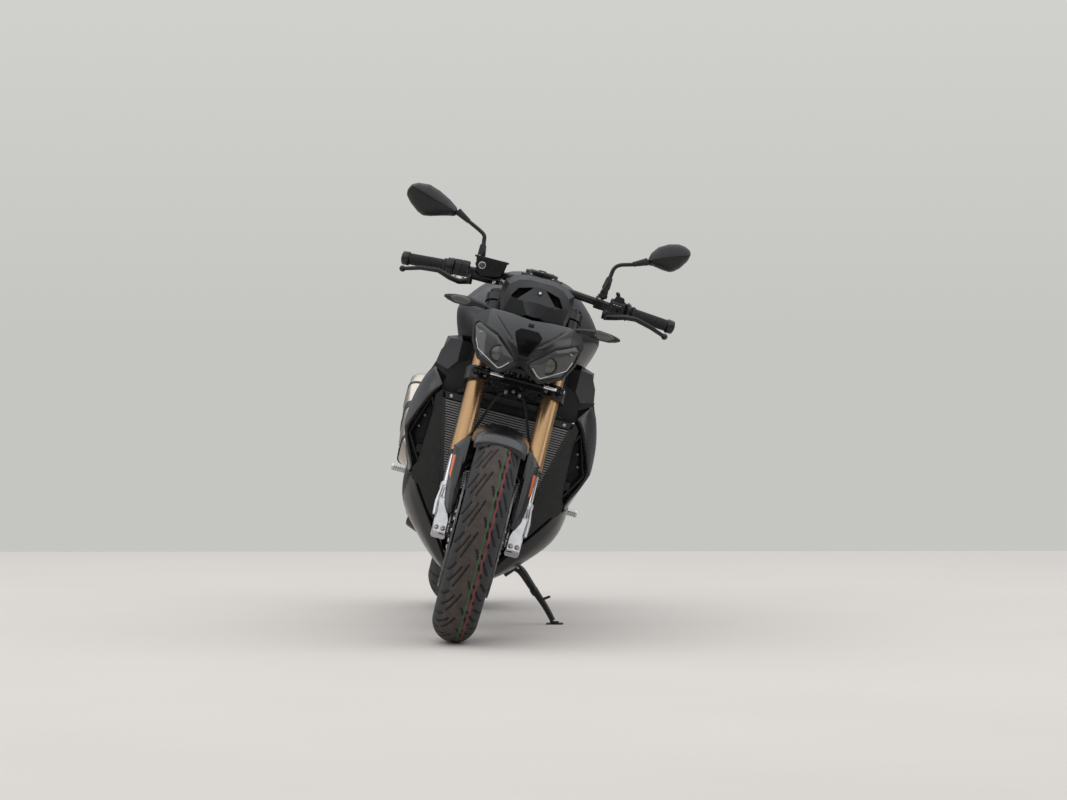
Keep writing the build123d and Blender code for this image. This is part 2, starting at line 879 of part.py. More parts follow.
# ---- Frame and engine ----
spar_stations = [(-330, 126, 748, 34, 130), (-120, 140, 700, 36, 110)]
with BuildPart() as frame:
    head_low = lower_clamp_top + 1
    head_high = upper_clamp_bottom - 1
    with BuildSketch(fork_plane.offset(head_low)):
        with Locations((0, fork_offset)):
            Circle(head_tube_radius)
    extrude(amount=head_high - head_low)
    neck_rear = fork_offset + 95
    with BuildSketch(fork_plane.offset(head_low + 22)):
        with Locations((0, (fork_offset + neck_rear) / 2)):
            Rectangle(104, neck_rear - fork_offset)
    extrude(amount=head_high - head_low - 50)
    for side in (-1, 1):
        add(
            spar(
                [
                    (-425, side * 36, 770, 32, 120),
                    *[(y, side * x, z, width, height) for y, x, z, width, height in spar_stations],
                    (40, side * 140, 600, 36, 120),
                    (120, side * 140, 560, 36, 150),
                ]
            )
        )
        plate = [(62, 620), (150, 640), (175, 560), (178, 420), (172, 335), (80, 335), (72, 420), (95, 520)]
        near = plate_inner if side > 0 else -plate_outer
        add(slab(plate, near, near + plate_outer - plate_inner))
    add(cross_rod(along(pivot_y), 615, shock_pin_radius, -plate_inner - 1, plate_inner + 1))
    add(cross_rod(along(90), 585, 20, -plate_inner - 1, plate_inner + 1))
    add(cross_rod(along(pivot_y + 15), 352, 12, -plate_inner - 1, plate_inner + 1))
    with BuildSketch(side_plane(-plate_outer - 5)):
        with Locations((along(pivot_y), pivot_z)):
            Circle(10 + fit)
    extrude(amount=2 * plate_outer + 10, mode=Mode.SUBTRACT)
    with BuildSketch(fork_plane.offset(head_low - 5)):
        with Locations((0, fork_offset)):
            Circle(stem_radius + 0.4)
    extrude(amount=head_high - head_low + 10, mode=Mode.SUBTRACT)

with BuildPart() as engine:
    crankcase = [(-262, 440), (-285, 330), (-250, 285), (58, 300), (58, 470), (-60, 500)]
    add(slab(crankcase, -150, 92))
    add(slab([(-262, 440), (-285, 330), (-250, 285), (-60, 285), (-50, 440)], 90, 150))
    add(cross_rod(along(-170), 375, 62, 148, 176))
    add(cross_rod(along(-110), 375, 62, -178, -148))
    # Mounting lugs behind, against the pivot plates.
    add(slab([(40, 400), (72 - seat_gap, 415), (72 - seat_gap, 425), (40, 440)], -150, -plate_inner - 2))
    add(slab([(-20, 455), (80 - seat_gap, 455), (84.6 - seat_gap, 475), (-20, 475)], 60, 150))

with BuildPart() as cylinders:
    # The bank stands on the crankcase's sloping top, and two lugs hold it under the spars.
    bank = [(-262, 440 + seat_gap), (-60, 500 + seat_gap), (-85, cylinder_top), (-300, cylinder_top), (-335, 560)]
    add(slab(bank, -118, 118))
    for near in (-136, 100):
        lug = [(-262, 600), (-238, 600), (-238, 666.3 - seat_gap), (-262, 670.7 - seat_gap)]
        add(slab(lug, near, near + 36))

with BuildPart() as sump:
    add(slab([(-245, 285 - seat_gap), (-235, 254), (10, 254), (45, 299.1 - seat_gap)], -82, 82))

with BuildPart() as stand_bracket:
    # It hangs from the crankcase beside the sump, and its outer face is what the stand's boss turns on.
    head = [(-5, 296.9 - seat_gap), (-58, 294.3 - seat_gap), (-58, 285 - seat_gap), (-75, 285 - seat_gap)]
    bracket = [(-75, 178), (-5, 178), *head]
    add(slab(bracket, 82 + seat_gap, stand_pivot[0] - 28))
    with BuildSketch(Plane(origin=stand_top - stand_axis * (stand_boss_half + seat_gap), z_dir=stand_axis)):
        Circle(stand_boss_radius)
    extrude(amount=-26)

# ---- Radiator and its panels ----
with BuildPart() as radiator:
    rise = radiator_top - radiator_bottom
    run = along(radiator_lean[0]) - along(radiator_lean[1])
    face = Plane(
        origin=(0, along(radiator_lean[1]), radiator_bottom),
        x_dir=(1, 0, 0),
        z_dir=(0, -rise, run),
    )
    slant = sqrt(rise**2 + run**2)
    with BuildSketch(face):
        Polygon(
            (-radiator_half_bottom, 0),
            (radiator_half_bottom, 0),
            (radiator_half_top, slant),
            (-radiator_half_top, slant),
            align=None,
        )
    extrude(amount=-radiator_thickness)
    with BuildSketch(face.offset(-16)):
        with Locations((162, slant + 5), (-162, slant + 5)):
            Rectangle(34, 20)
    extrude(amount=-10)
    # Hangers from the radiator's back to the cylinder head, and tabs that carry the shrouds.
    for near in (114, -118):
        add(slab([(-446, 625), (-440, 598), (-318.3, 600), (-309.6, 620)], near, near + 4))
    for side in (-1, 1):
        tab = [(-452, 640), (-438, 640), (-434, 606), (-446, 606)]
        add(slab(tab, *sorted((side * (radiator_half_top - 28), side * radiator_half_top))))

shroud_outline = [(-462, 668), (-428, 520), (-398, 432), (-270, 408), (-150, 500), (-170, 640), (-330, 722)]
shroud_mid = [(-440, 656), (-420, 528), (-392, 444), (-275, 424), (-170, 505), (-190, 630), (-330, 712)]
shroud_crest = [(-395, 640), (-385, 540), (-360, 500), (-300, 490), (-240, 530), (-250, 610), (-330, 660)]


def shroud_solid(shift):
    """The shroud's bulging outline, lofted outwards from the radiator's side."""
    with BuildPart() as body:
        for x, outline in ((shroud_inner, shroud_outline), (250.0, shroud_mid), (268.0, shroud_crest)):
            with BuildSketch(side_plane(x - shift)):
                with BuildLine():
                    Polyline(*[(along(y), z) for y, z in outline], close=True)
                make_face()
        loft(ruled=True)
    return body.part


with BuildPart() as side_shrouds:
    add(shroud_solid(0))
    add(shroud_solid(shroud_shell), mode=Mode.SUBTRACT)
    mirror(about=Plane.YZ)

pan_front = [(72, 158), (104, 187), (166, 262), (205, 330), (228, 396)]
pan_rear = [(66, 175), (100, 192), (158, 245), (176, 280), (182, 300)]


def trough(points, inward):
    """A channel outline from its outer half, listed from the keel up, and back along the inside."""
    keel, top = points[0], points[-1]
    sides = [(x - inward, z + inward * 0.55) for x, z in points[1:-1]]
    inner = [(keel[0] - 2, keel[1] + inward), *sides, (top[0] - inward, top[1])]
    outer_line = list(reversed(points)) + [(-x, z) for x, z in points]
    inner_line = [(-x, z) for x, z in reversed(inner)] + inner
    return outer_line + inner_line


with BuildPart() as belly_pan:
    add(skin([(-318, trough(pan_front, pan_shell)), (-75, trough(pan_rear, pan_shell))]))

# ---- Tank, panels and seats ----


def spar_top(y):
    """The height just above the frame's upper face, along its two front stations."""
    share = (y - spar_stations[0][0]) / (spar_stations[1][0] - spar_stations[0][0])
    near_top, far_top = (z + height / 2 for y_place, x, z, width, height in spar_stations)
    return near_top + (far_top - near_top) * share + seat_gap


tank_crown = [
    (-318, spar_top(-318), [(0, 984), (64, 970), (96, 930), (120, 876)], 124),
    (-262, spar_top(-262), [(0, 1030), (88, 1006), (124, 944), (158, 884)], 160),
    (-190, spar_top(-190), [(0, 1046), (96, 1030), (166, 962), (206, 900)], 182),
    (-140, spar_top(-140), [(0, 1040), (94, 1026), (172, 966), (213, 904)], 184),
    (-60, 762, [(0, 990), (80, 975), (150, 920), (175, 870)], 160),
    (18, 758, [(0, 862), (60, 856), (95, 840), (110, 810)], 105),
]
with BuildPart() as fuel_tank:
    add(skin([(y, mirrored([*crown, (half, floor), (0, floor)])) for y, floor, crown, half in tank_crown]))

# The airbox fills the room between the spars, and four throttle bodies join it to the cylinders.
airbox_stations = [(-318, 736, 128), (-170, 712, 80), (-36, 706, 68)]
with BuildPart() as airbox:
    add(spar([(y, 0, z, 2 * airbox_half, height) for y, z, height in airbox_stations]))
    with BuildSketch(Plane.XY.offset(cylinder_top + seat_gap)):
        with Locations(*[(x, along(-200)) for x in (-84, -28, 28, 84)]):
            Circle(throttle_radius)
    extrude(amount=45)

with BuildPart() as tank_side_panels:
    panel = [(-400, 806), (-425, 740), (-340, 724), (-200, 700), (-60, 700), (-70, 780), (-180, 818)]
    with BuildSketch(side_plane(192)):
        with BuildLine():
            Polyline(*[(along(y), z) for y, z in panel], close=True)
        make_face()
    extrude(amount=26, taper=12)
    flank = [(-405, 800), (-420, 745), (-345, 730), (-330, 800)]
    add(slab(flank, 150, 196))
    mirror(about=Plane.YZ)
    add(fuel_tank.part, mode=Mode.SUBTRACT)

with BuildPart() as rider_seat:
    stations = [
        (18 + seat_gap, mirrored([(0, 848), (55, 842), (88, 815), (92, 758), (0, 758)])),
        (120, mirrored([(0, 826), (80, 822), (125, 795), (130, 758), (0, 758)])),
        (250, mirrored([(0, 832), (95, 830), (140, 805), (142, 757), (0, 757)])),
        (335, mirrored([(0, 868), (90, 862), (120, 835), (120, 773), (0, 773)])),
    ]
    add(skin(stations))

with BuildPart() as passenger_seat:
    stations = [
        (335 + seat_gap, mirrored([(0, 888), (85, 884), (105, 868), (105, 835), (0, 835)])),
        (480, mirrored([(0, 912), (85, 908), (102, 895), (102, 866), (0, 866)])),
        (610, mirrored([(0, 930), (60, 926), (76, 914), (76, 892), (0, 892)])),
    ]
    add(skin(stations))

with BuildPart() as tail_fairing:
    stations = [
        (335 + seat_gap, mirrored([(0, 834), (108, 834), (122, 820), (112, 775), (0, 775)])),
        (480, mirrored([(0, 865), (108, 865), (116, 850), (92, 800), (0, 800)])),
        (610, mirrored([(0, 891), (84, 891), (88, 880), (62, 826), (0, 826)])),
    ]
    add(skin(stations))
    stations = [
        (610, mirrored([(0, 905), (84, 905), (88, 880), (62, 826), (0, 826)])),
        (760, mirrored([(0, 922), (46, 918), (50, 896), (34, 862), (0, 862)])),
    ]
    add(skin(stations))

with BuildPart() as subframe:
    for side in (-1, 1):
        upper = [(side * 140, along(138), 590), (side * 96, along(250), 741), (side * 84, along(600), 811)]
        add(rod(upper, 12, bend=60))
        lower = [(side * 140, along(160), 500), (side * 92, along(330), 650), (side * 88, along(440), 745)]
        add(rod(lower, 10, bend=60))
    for y, z in ((262, 743), (430, 777), (590, 809)):
        add(cross_rod(along(y), z - 2, 9, -90, 90))
    add(frame.part, mode=Mode.SUBTRACT)

# ---- Swingarm, chain, shock and rear brake ----
arm_middle = (arm_inner + arm_outer) / 2
arm_width = arm_outer - arm_inner
# The arm's last two stations: (y, z centre, height), placed from the rear axle.
arm_stations = [(trailed(465), 375, 105), (trailed(763), rear_radius, 56)]
with BuildPart() as swingarm:
    for side in (-1, 1):
        root = [
            (along(pivot_y) - 12, side * 98, pivot_z, 44, 40),
            (along(pivot_y) + 52, side * 98, pivot_z, 44, 40),
            (along(pivot_y) + 125, side * arm_middle, pivot_z - 6, arm_width, 72),
        ]
        blade = [(y, side * arm_middle, z, arm_width, height) for y, z, height in arm_stations]
        add(spar([*root, *blade], station=as_placed))
    tube_half = plate_inner - seat_gap
    add(cross_rod(along(pivot_y), pivot_z, pivot_tube_radius, -tube_half, tube_half))
    brace = [(148, 376), (180, 376), (180, 424), (148, 424)]
    add(slab(brace, -99, 99))
    rear_brace = [(322, 345), (362, 350), (372, 425), (322, 430)]
    add(slab(rear_brace, -121, 98))
    add(slab([(322, 352), (362, 355), (368, 412), (322, 415)], 96, 122))
    for side in (-1, 1):
        near = 22 if side > 0 else -32
        add(slab([(225, 366), (330, 366), (330, 350), (285, 318), (240, 318), (225, 350)], near, near + 10))
    with BuildSketch(side_plane(-arm_outer - 20)):
        with Locations((along(pivot_y), pivot_z)):
            Circle(10 + fit)
        with Locations((rear_axle_y, rear_radius)):
            Circle(axle_radius + fit)
    extrude(amount=2 * arm_outer + 40, mode=Mode.SUBTRACT)

with BuildPart() as rear_axle:
    add(cross_rod(rear_axle_y, rear_radius, axle_radius, -arm_outer - 6, arm_outer + 6))
    add(cross_rod(rear_axle_y, rear_radius, 19, arm_outer + seat_gap, arm_outer + 14))
    add(cross_rod(rear_axle_y, rear_radius, 19, -arm_outer - 14, -arm_outer - seat_gap))

with BuildPart() as pivot_bolt:
    add(cross_rod(along(pivot_y), pivot_z, 10, -plate_outer - 4, plate_outer + 4))
    add(cross_rod(along(pivot_y), pivot_z, 17, plate_outer + seat_gap, plate_outer + 10))
    add(cross_rod(along(pivot_y), pivot_z, 17, -plate_outer - 10, -plate_outer - seat_gap))

with BuildPart() as drive_chain:
    for grow, mode in ((chain_half_height, Mode.ADD), (-chain_half_height, Mode.SUBTRACT)):
        with BuildSketch(side_plane(chain_offset - chain_width / 2)):
            with Locations((along(front_sprocket_y), front_sprocket_z)):
                Circle(front_sprocket_radius + grow)
            with Locations((rear_axle_y, rear_radius)):
                Circle(rear_sprocket_radius + grow)
            make_hull()
        extrude(amount=chain_width, mode=mode)

with BuildPart() as shock_absorber:
    low = Vector(0, along(262), 335)
    high = Vector(0, along(pivot_y), 615)
    direction = (high - low).normalized()
    add(rod([low + direction * 10, high - direction * 10], 13))
    add(rod([low + direction * 64, high - direction * 62], 31))
    add(rod([high - direction * 64, high - direction * 22], 26))
    add(cross_rod(low.Y, low.Z, 20, -21.7, 21.7))
    add(cross_rod(high.Y, high.Z, shock_pin_radius + 9, -18, 18))
    with BuildSketch(side_plane(-40)):
        with Locations((high.Y, high.Z)):
            Circle(shock_pin_radius + fit)
    extrude(amount=80, mode=Mode.SUBTRACT)

with BuildPart() as rear_caliper:
    bracket_near = -arm_inner + seat_gap
    rear_plane = caliper_plane(rear_centre, 118)
    with BuildSketch(rear_plane.offset(72)):
        with Locations((rear_disc_offset - 0.5, 0)):
            Rectangle(32, 90)
    extrude(amount=56)
    with BuildSketch(rear_plane.offset(60)):
        with Locations((rear_disc_offset, 0)):
            Rectangle(disc_thickness + 2 * disc_clearance, 200)
    extrude(amount=rear_disc_radius + disc_clearance - 60, mode=Mode.SUBTRACT)
    with BuildSketch(side_plane(bracket_near)):
        with Locations((rear_axle_y, rear_radius)):
            Circle(30)
            Circle(22, mode=Mode.SUBTRACT)
    extrude(amount=6)
    with BuildSketch(rear_plane.offset(26)):
        with Locations((bracket_near + 3, 0)):
            Rectangle(6, 44)
    extrude(amount=60)

def arm_top(y):
    """The height just above the swingarm's upper face, between its last two stations."""
    near, far = arm_stations[-2], arm_stations[-1]
    near_top, far_top = near[1] + near[2] / 2, far[1] + far[2] / 2
    return near_top + (far_top - near_top) * (y - near[0]) / (far[0] - near[0]) + seat_gap


with BuildPart() as rear_hugger:
    with BuildSketch(wheel_section(rear_centre, -84)):
        with BuildLine():
            edge = hugger_inner - hugger_drop
            wide = hugger_half + hugger_thickness
            ThreePointArc((-hugger_half, edge), (0, hugger_inner), (hugger_half, edge))
            Line((hugger_half, edge), (wide, edge))
            ThreePointArc((wide, edge), (0, hugger_inner + hugger_thickness), (-wide, edge))
            Line((-wide, edge), (-hugger_half, edge))
        make_face()
    revolve(axis=Axis(rear_centre, (-1, 0, 0)), revolution_arc=74)
    # Stays from the mudguard's edge to the top of each arm.
    stay_ends = (trailed(470), trailed(505))
    for side in (-1, 1):
        shelf = [(stay_ends[0], 448), (stay_ends[1], 448), (stay_ends[1], 455), (stay_ends[0], 455)]
        add(slab(shelf, *sorted((side * (hugger_half + 1), side * arm_middle)), station=as_placed))
        foot = [(stay_ends[0], arm_top(stay_ends[0])), (stay_ends[1], arm_top(stay_ends[1])), *shelf[2:]]
        add(slab(foot, *sorted((side * (arm_middle - 6), side * arm_middle)), station=as_placed))

# ---- Exhaust ----
with BuildPart() as exhaust_headers:
    for x in (-96, -33, 33, 96):
        header = [
            (x, along(-330), 592),
            (x, along(-356), 540),
            (x, along(-334), 330),
            (x * 0.7, along(-280), 228),
            (x * 0.45, along(-190), 214),
        ]
        add(rod(header, 17, bend=40))
    collector = [(0, along(-215), 214), (0, along(-60), 214), (-70, along(60), 222), (-183, along(125), 262)]
    add(rod(collector, 30, bend=50))
    link_end = (-206, along(222), 398)
    add(rod([(-150, along(106), 247), (-186, along(150), 285), link_end], 26, bend=30))
    for casting in (engine, cylinders, sump):
        add(casting.part, mode=Mode.SUBTRACT)

with BuildPart() as silencer:
    start = Vector(-208, along(228), 405)
    finish = Vector(-238, along(520), 640)
    direction = (finish - start).normalized()
    for place, width, height in ((0, 66, 70), (70, 96, 118), (310, 104, 128), (372, 84, 100)):
        with BuildSketch(Plane(origin=start + direction * place, x_dir=(1, 0, 0), z_dir=direction)):
            Rectangle(width, height)
            chamfer(vertices(), length=20)
    loft(ruled=True)
    bracket = [(330, 560), (400, 590), (350, 690), (310, 680)]
    add(slab(bracket, -188, -hanger_outer - seat_gap))

# ---- Foot controls ----
with BuildPart() as footrests:
    for side in (-1, 1):
        hanger = [(85, 520), (150, 525), (172, 470), (165, 372), (100, 368), (92, 430)]
        near = plate_outer + seat_gap if side > 0 else -plate_outer - seat_gap - 9
        add(slab(hanger, near, near + 9))
        reach = sorted((side * (plate_outer + 6), side * peg_reach))
        add(cross_rod(along(peg_y), peg_z, peg_radius, *reach))
        arm = [(105, 380), (105, 364), (-40, 348), (-42, 362)]
        near = plate_outer + 9 if side > 0 else -plate_outer - 18
        add(slab(arm, near, near + 9))
        toe = sorted((side * (plate_outer + 10), side * (plate_outer + 52)))
        add(cross_rod(along(-36), 355, 8, *toe))
    with BuildSketch(side_plane(-plate_outer - 12)):
        with Locations((along(pivot_y), pivot_z)):
            Circle(18)
    extrude(amount=2 * plate_outer + 24, mode=Mode.SUBTRACT)

with BuildPart() as passenger_footrests:
    for side in (-1, 1):
        hanger = [(296, 640), (330, 655), (430, 520), (400, 500)]
        add(slab(hanger, *sorted((side * (hanger_outer - hanger_thickness), side * hanger_outer))))
        folded = [
            (side * (hanger_outer - 1), along(412), 514),
            (side * (hanger_outer + 16), along(420), 516),
            (side * (hanger_outer + 18), along(505), 566),
        ]
        add(rod(folded, 9, bend=6))
    add(subframe.part, mode=Mode.SUBTRACT)

# ---- Tail lights and plate ----
with BuildPart() as plate_holder:
    arm = [(640, 848), (700, 862), (980, 760), (plate_rear - 10, 700), (plate_rear - 25, 690), (930, 740)]
    add(slab(arm, -22, 22))
    board = [(plate_rear - 22, 730), (plate_rear - 14, 732), (plate_rear, 560), (plate_rear - 8, 558)]
    add(slab(board, -95, 95))
    add(tail_fairing.part, mode=Mode.SUBTRACT)

with BuildPart() as rear_lights:
    for side in (-1, 1):
        root = (side * (22 + seat_gap), along(900), 782)
        stalk_plane = Plane(origin=root, x_dir=(0, 1, 0), z_dir=(side, 0, 0))
        with BuildSketch(stalk_plane):
            Circle(7)
        extrude(amount=110)
        for reach, half_length, half_height in ((104, 12, 9), (122, 15, 11), (164, 8, 6)):
            with BuildSketch(stalk_plane.offset(reach)):
                Ellipse(half_length, half_height)
        loft()

# ---- Side stand ----
with BuildPart() as side_stand:
    with BuildSketch(Plane(origin=stand_top - stand_axis * stand_boss_half, z_dir=stand_axis)):
        Circle(stand_boss_radius)
    extrude(amount=2 * stand_boss_half)
    add(rod([stand_top + stand_direction * 8, stand_foot], stand_leg_radius))
    foot_plane = Plane(ground * Location((stand_reach, along(stand_foot_y), 0)))
    with BuildSketch(foot_plane):
        RectangleRounded(foot_length, foot_width, 8)
    extrude(amount=foot_thickness)

# ---- Nodes ----
nodes = {
    "front_tyre": front_tyre,
    "front_rim": front_rim,
    "front_brake_discs": front_brake_discs,
    "rear_tyre": rear_tyre,
    "rear_rim": rear_rim,
    "rear_brake_disc": rear_brake_disc,
    "rear_sprocket": rear_sprocket,
    "front_axle": front_axle,
    "fork_bottoms": fork_bottoms,
    "fork_stanchions": fork_stanchions,
    "fork_tubes": fork_tubes,
    "front_calipers": front_calipers,
    "triple_clamps": triple_clamps,
    "front_fender": front_fender,
    "handlebar": handlebar,
    "grips": grips,
    "switchgear": switchgear,
    "hand_levers": hand_levers,
    "mirrors": mirrors,
    "headlight": headlight,
    "instrument_cowl": instrument_cowl,
    "front_indicators": front_indicators,
    "steering_damper": steering_damper,
    "brake_hoses": brake_hoses,
    "frame": frame,
    "engine": engine,
    "cylinders": cylinders,
    "sump": sump,
    "stand_bracket": stand_bracket,
    "radiator": radiator,
    "side_shrouds": side_shrouds,
    "belly_pan": belly_pan,
    "fuel_tank": fuel_tank,
    "tank_side_panels": tank_side_panels,
    "airbox": airbox,
    "rider_seat": rider_seat,
    "passenger_seat": passenger_seat,
    "tail_fairing": tail_fairing,
    "subframe": subframe,
    "swingarm": swingarm,
    "rear_axle": rear_axle,
    "pivot_bolt": pivot_bolt,
    "drive_chain": drive_chain,
    "shock_absorber": shock_absorber,
    "rear_caliper": rear_caliper,
    "rear_hugger": rear_hugger,
    "exhaust_headers": exhaust_headers,
    "silencer": silencer,
    "footrests": footrests,
    "passenger_footrests": passenger_footrests,
    "plate_holder": plate_holder,
    "rear_lights": rear_lights,
    "side_stand": side_stand,
}
boxes = [piece.part.moved(leaned).bounding_box() for piece in nodes.values()]
middle_x = (min(box.min.X for box in boxes) + max(box.max.X for box in boxes)) / 2
middle_y = (min(box.min.Y for box in boxes) + max(box.max.Y for box in boxes)) / 2
parked = Pos(-middle_x, -middle_y, 0) * leaned
for name, piece in nodes.items():
    standing = piece.part.moved(parked)
    standing.label = name
    export_step(standing, f"parts/{name}.step")
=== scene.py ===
import json
import math

import bmesh
import bpy
import numpy as np
from mathutils import Matrix, Vector
from mathutils.bvhtree import BVHTree


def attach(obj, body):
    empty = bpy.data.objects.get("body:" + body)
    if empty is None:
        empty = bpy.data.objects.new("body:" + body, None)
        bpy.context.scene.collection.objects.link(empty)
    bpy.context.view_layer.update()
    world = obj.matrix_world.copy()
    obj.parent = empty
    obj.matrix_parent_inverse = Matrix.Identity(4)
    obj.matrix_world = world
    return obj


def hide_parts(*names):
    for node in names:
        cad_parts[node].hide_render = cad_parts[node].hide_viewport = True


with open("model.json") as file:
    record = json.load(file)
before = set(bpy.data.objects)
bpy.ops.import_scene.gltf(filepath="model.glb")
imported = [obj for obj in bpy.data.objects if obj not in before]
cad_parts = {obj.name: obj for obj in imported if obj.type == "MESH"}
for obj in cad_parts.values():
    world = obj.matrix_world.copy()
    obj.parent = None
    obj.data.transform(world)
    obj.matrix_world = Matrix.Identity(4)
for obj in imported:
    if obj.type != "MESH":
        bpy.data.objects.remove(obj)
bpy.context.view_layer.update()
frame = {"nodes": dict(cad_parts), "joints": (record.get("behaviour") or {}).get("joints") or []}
NODES = frame["nodes"]
JOINTS = {joint["name"]: joint for joint in frame["joints"]}

# ---- The upright machine's frame: pieces are modelled in upright millimetres and placed by these axes ----
WHEELBASE = 1.450
FRONT_R, REAR_R = 0.300, 0.320
front_hub = Vector(JOINTS["front_wheel_spin"]["pos_m"])
rear_hub = Vector(JOINTS["rear_wheel_spin"]["pos_m"])
axis_x = Vector(JOINTS["front_wheel_spin"]["axis"]).normalized()
reach = math.hypot(WHEELBASE, REAR_R - FRONT_R)
ahead = (rear_hub - front_hub) / reach
lift = axis_x.cross(ahead)
axis_y = (WHEELBASE * ahead - (REAR_R - FRONT_R) * lift) / reach
axis_z = ((REAR_R - FRONT_R) * ahead + WHEELBASE * lift) / reach
origin = front_hub - (-WHEELBASE / 2 * axis_y + FRONT_R * axis_z)
UPRIGHT = Matrix((
    (axis_x.x / 1000, axis_y.x / 1000, axis_z.x / 1000, origin.x),
    (axis_x.y / 1000, axis_y.y / 1000, axis_z.y / 1000, origin.y),
    (axis_x.z / 1000, axis_y.z / 1000, axis_z.z / 1000, origin.z),
    (0, 0, 0, 1),
))
RAKE = math.radians(24.2)
FORK_Y = Vector((0, math.cos(RAKE), -math.sin(RAKE)))
FORK_Z = Vector((0, math.sin(RAKE), math.cos(RAKE)))
X, Y, Z = Vector((1, 0, 0)), Vector((0, 1, 0)), Vector((0, 0, 1))
FRONT_HUB = Vector((0, -WHEELBASE / 2 * 1000, FRONT_R * 1000))
REAR_HUB = Vector((0, WHEELBASE / 2 * 1000, REAR_R * 1000))


def fork(x, behind, up):
    """A point given along the fork legs, in upright millimetres."""
    return FRONT_HUB + X * x + FORK_Y * behind + FORK_Z * up


# ---- Materials ----
MATS = {}


def ramp(tree, fac, low, high, start=0.3, end=0.7):
    """A ramp between two colours, driven by fac."""
    node = tree.nodes.new("ShaderNodeValToRGB")
    first, last = node.color_ramp.elements
    first.position, first.color = start, low
    last.position, last.color = end, high
    tree.links.new(fac, node.inputs["Fac"])
    return node.outputs["Color"]


def grey(value):
    """A colour without a hue, for a ramp."""
    return (value, value, value, 1)


def shader(name, colour, rough, metal=0.0, vary=0.12, scale=60, bump=0.1, grain=900, wear=0.0, **sockets):
    """A procedural finish: slow colour drift, uneven roughness, a fine grain bump and lighter worn edges."""
    mat = bpy.data.materials.new(name)
    mat.use_nodes = True
    tree = mat.node_tree
    bsdf = tree.nodes["Principled BSDF"]
    bsdf.inputs["Metallic"].default_value = metal
    for key, value in sockets.items():
        bsdf.inputs[key.replace("_", " ")].default_value = value
    coords = tree.nodes.new("ShaderNodeTexCoord")

    def noise(size, detail=3.0):
        node = tree.nodes.new("ShaderNodeTexNoise")
        node.inputs["Scale"].default_value = size
        node.inputs["Detail"].default_value = detail
        tree.links.new(coords.outputs["Object"], node.inputs["Vector"])
        return node.outputs["Fac"]

    low = tuple(c * (1 - vary) for c in colour) + (1,)
    high = tuple(min(1, c * (1 + vary)) for c in colour) + (1,)
    painted = ramp(tree, noise(scale), low, high)
    if wear:
        geometry = tree.nodes.new("ShaderNodeNewGeometry")
        edge = ramp(tree, geometry.outputs["Pointiness"], grey(0), grey(wear), 0.53, 0.62)
        mix = tree.nodes.new("ShaderNodeMix")
        mix.data_type = "RGBA"
        mix.inputs["B"].default_value = tuple(min(1, c * 2.5 + 0.03) for c in colour) + (1,)
        tree.links.new(edge, mix.inputs["Factor"])
        tree.links.new(painted, mix.inputs["A"])
        painted = mix.outputs["Result"]
    tree.links.new(painted, bsdf.inputs["Base Color"])
    uneven = ramp(tree, noise(scale * 2.3), grey(max(0.03, rough - 0.05)), grey(min(1, rough + 0.06)))
    tree.links.new(uneven, bsdf.inputs["Roughness"])
    if bump:
        node = tree.nodes.new("ShaderNodeBump")
        node.inputs["Strength"].default_value = bump
        node.inputs["Distance"].default_value = 0.0004
        tree.links.new(noise(grain, 4), node.inputs["Height"])
        tree.links.new(node.outputs["Normal"], bsdf.inputs["Normal"])
    MATS[name] = mat


# Name, colour, roughness, metal, colour drift and its scale, bump and its grain, worn edges, other sockets.
shader(
    "panel", (0.0055, 0.0057, 0.0068), 0.24, 0.0, 0.08, 9, 0.03, 2400, 0.2, Specular_IOR_Level=0.6,
    Coat_Weight=0.1, Coat_Roughness=0.08,
)
shader("panel_grey", (0.0085, 0.0088, 0.0098), 0.36, 0.0, 0.08, 9, 0.05, 2400, 0.2, Specular_IOR_Level=0.45)
shader("plastic", (0.0068, 0.007, 0.0078), 0.38, 0, 0.12, 25, 0.2, 1500, 0.2, Specular_IOR_Level=0.42)
shader("black", (0.0048, 0.005, 0.0056), 0.26, 0.0, 0.12, 25, 0.08, 1200, 0.3, Specular_IOR_Level=0.42)
# A matte black: the real finish of some set-back faces, and painted shade in the openings behind the radiator
# fins and the gills and in the disc's drill holes.
shader("matte_black_and_shade", (0.006, 0.006, 0.007), 0.7, 0, 0.2, 30, 0.2, 900)
shader("rubber", (0.013, 0.013, 0.0135), 0.72, 0, 0.18, 60, 0.45, 900)
shader("tread", (0.062, 0.05, 0.043), 0.86, 0, 0.22, 35, 0.5, 700)
shader("shoulder", (0.032, 0.031, 0.031), 0.82, 0, 0.15, 35, 0.4, 700)
shader("sidewall", (0.02, 0.02, 0.021), 0.66, 0, 0.12, 30, 0.25, 500)
# Painted shade: the far darker rubber colour of faces deep in the tyre's sipes.
shader("groove_shade", (0.011, 0.011, 0.011), 0.9, 0, 0.1, 30, 0.3, 700)
shader("green", (0.03, 0.13, 0.045), 0.85, 0, 0.35, 60, 0.4, 700)
shader("red", (0.3, 0.022, 0.04), 0.82, 0, 0.3, 60, 0.4, 700)
shader("gold", (0.42, 0.262, 0.135), 0.28, 0.92, 0.02, 8, 0.03, 1600)
shader("chrome", (0.78, 0.78, 0.79), 0.09, 1.0, 0.03, 30, 0.02, 2000)
shader("silver", (0.62, 0.62, 0.63), 0.34, 0.85, 0.07, 45, 0.25, 900, 0.2)
shader("steel", (0.42, 0.42, 0.43), 0.3, 1.0, 0.1, 80, 0.15, 1800)
shader("engine", (0.03, 0.03, 0.033), 0.5, 0.35, 0.2, 40, 0.5, 600, 0.35)
shader("titanium", (0.6, 0.545, 0.475), 0.3, 1.0, 0.12, 14, 0.12, 1800)
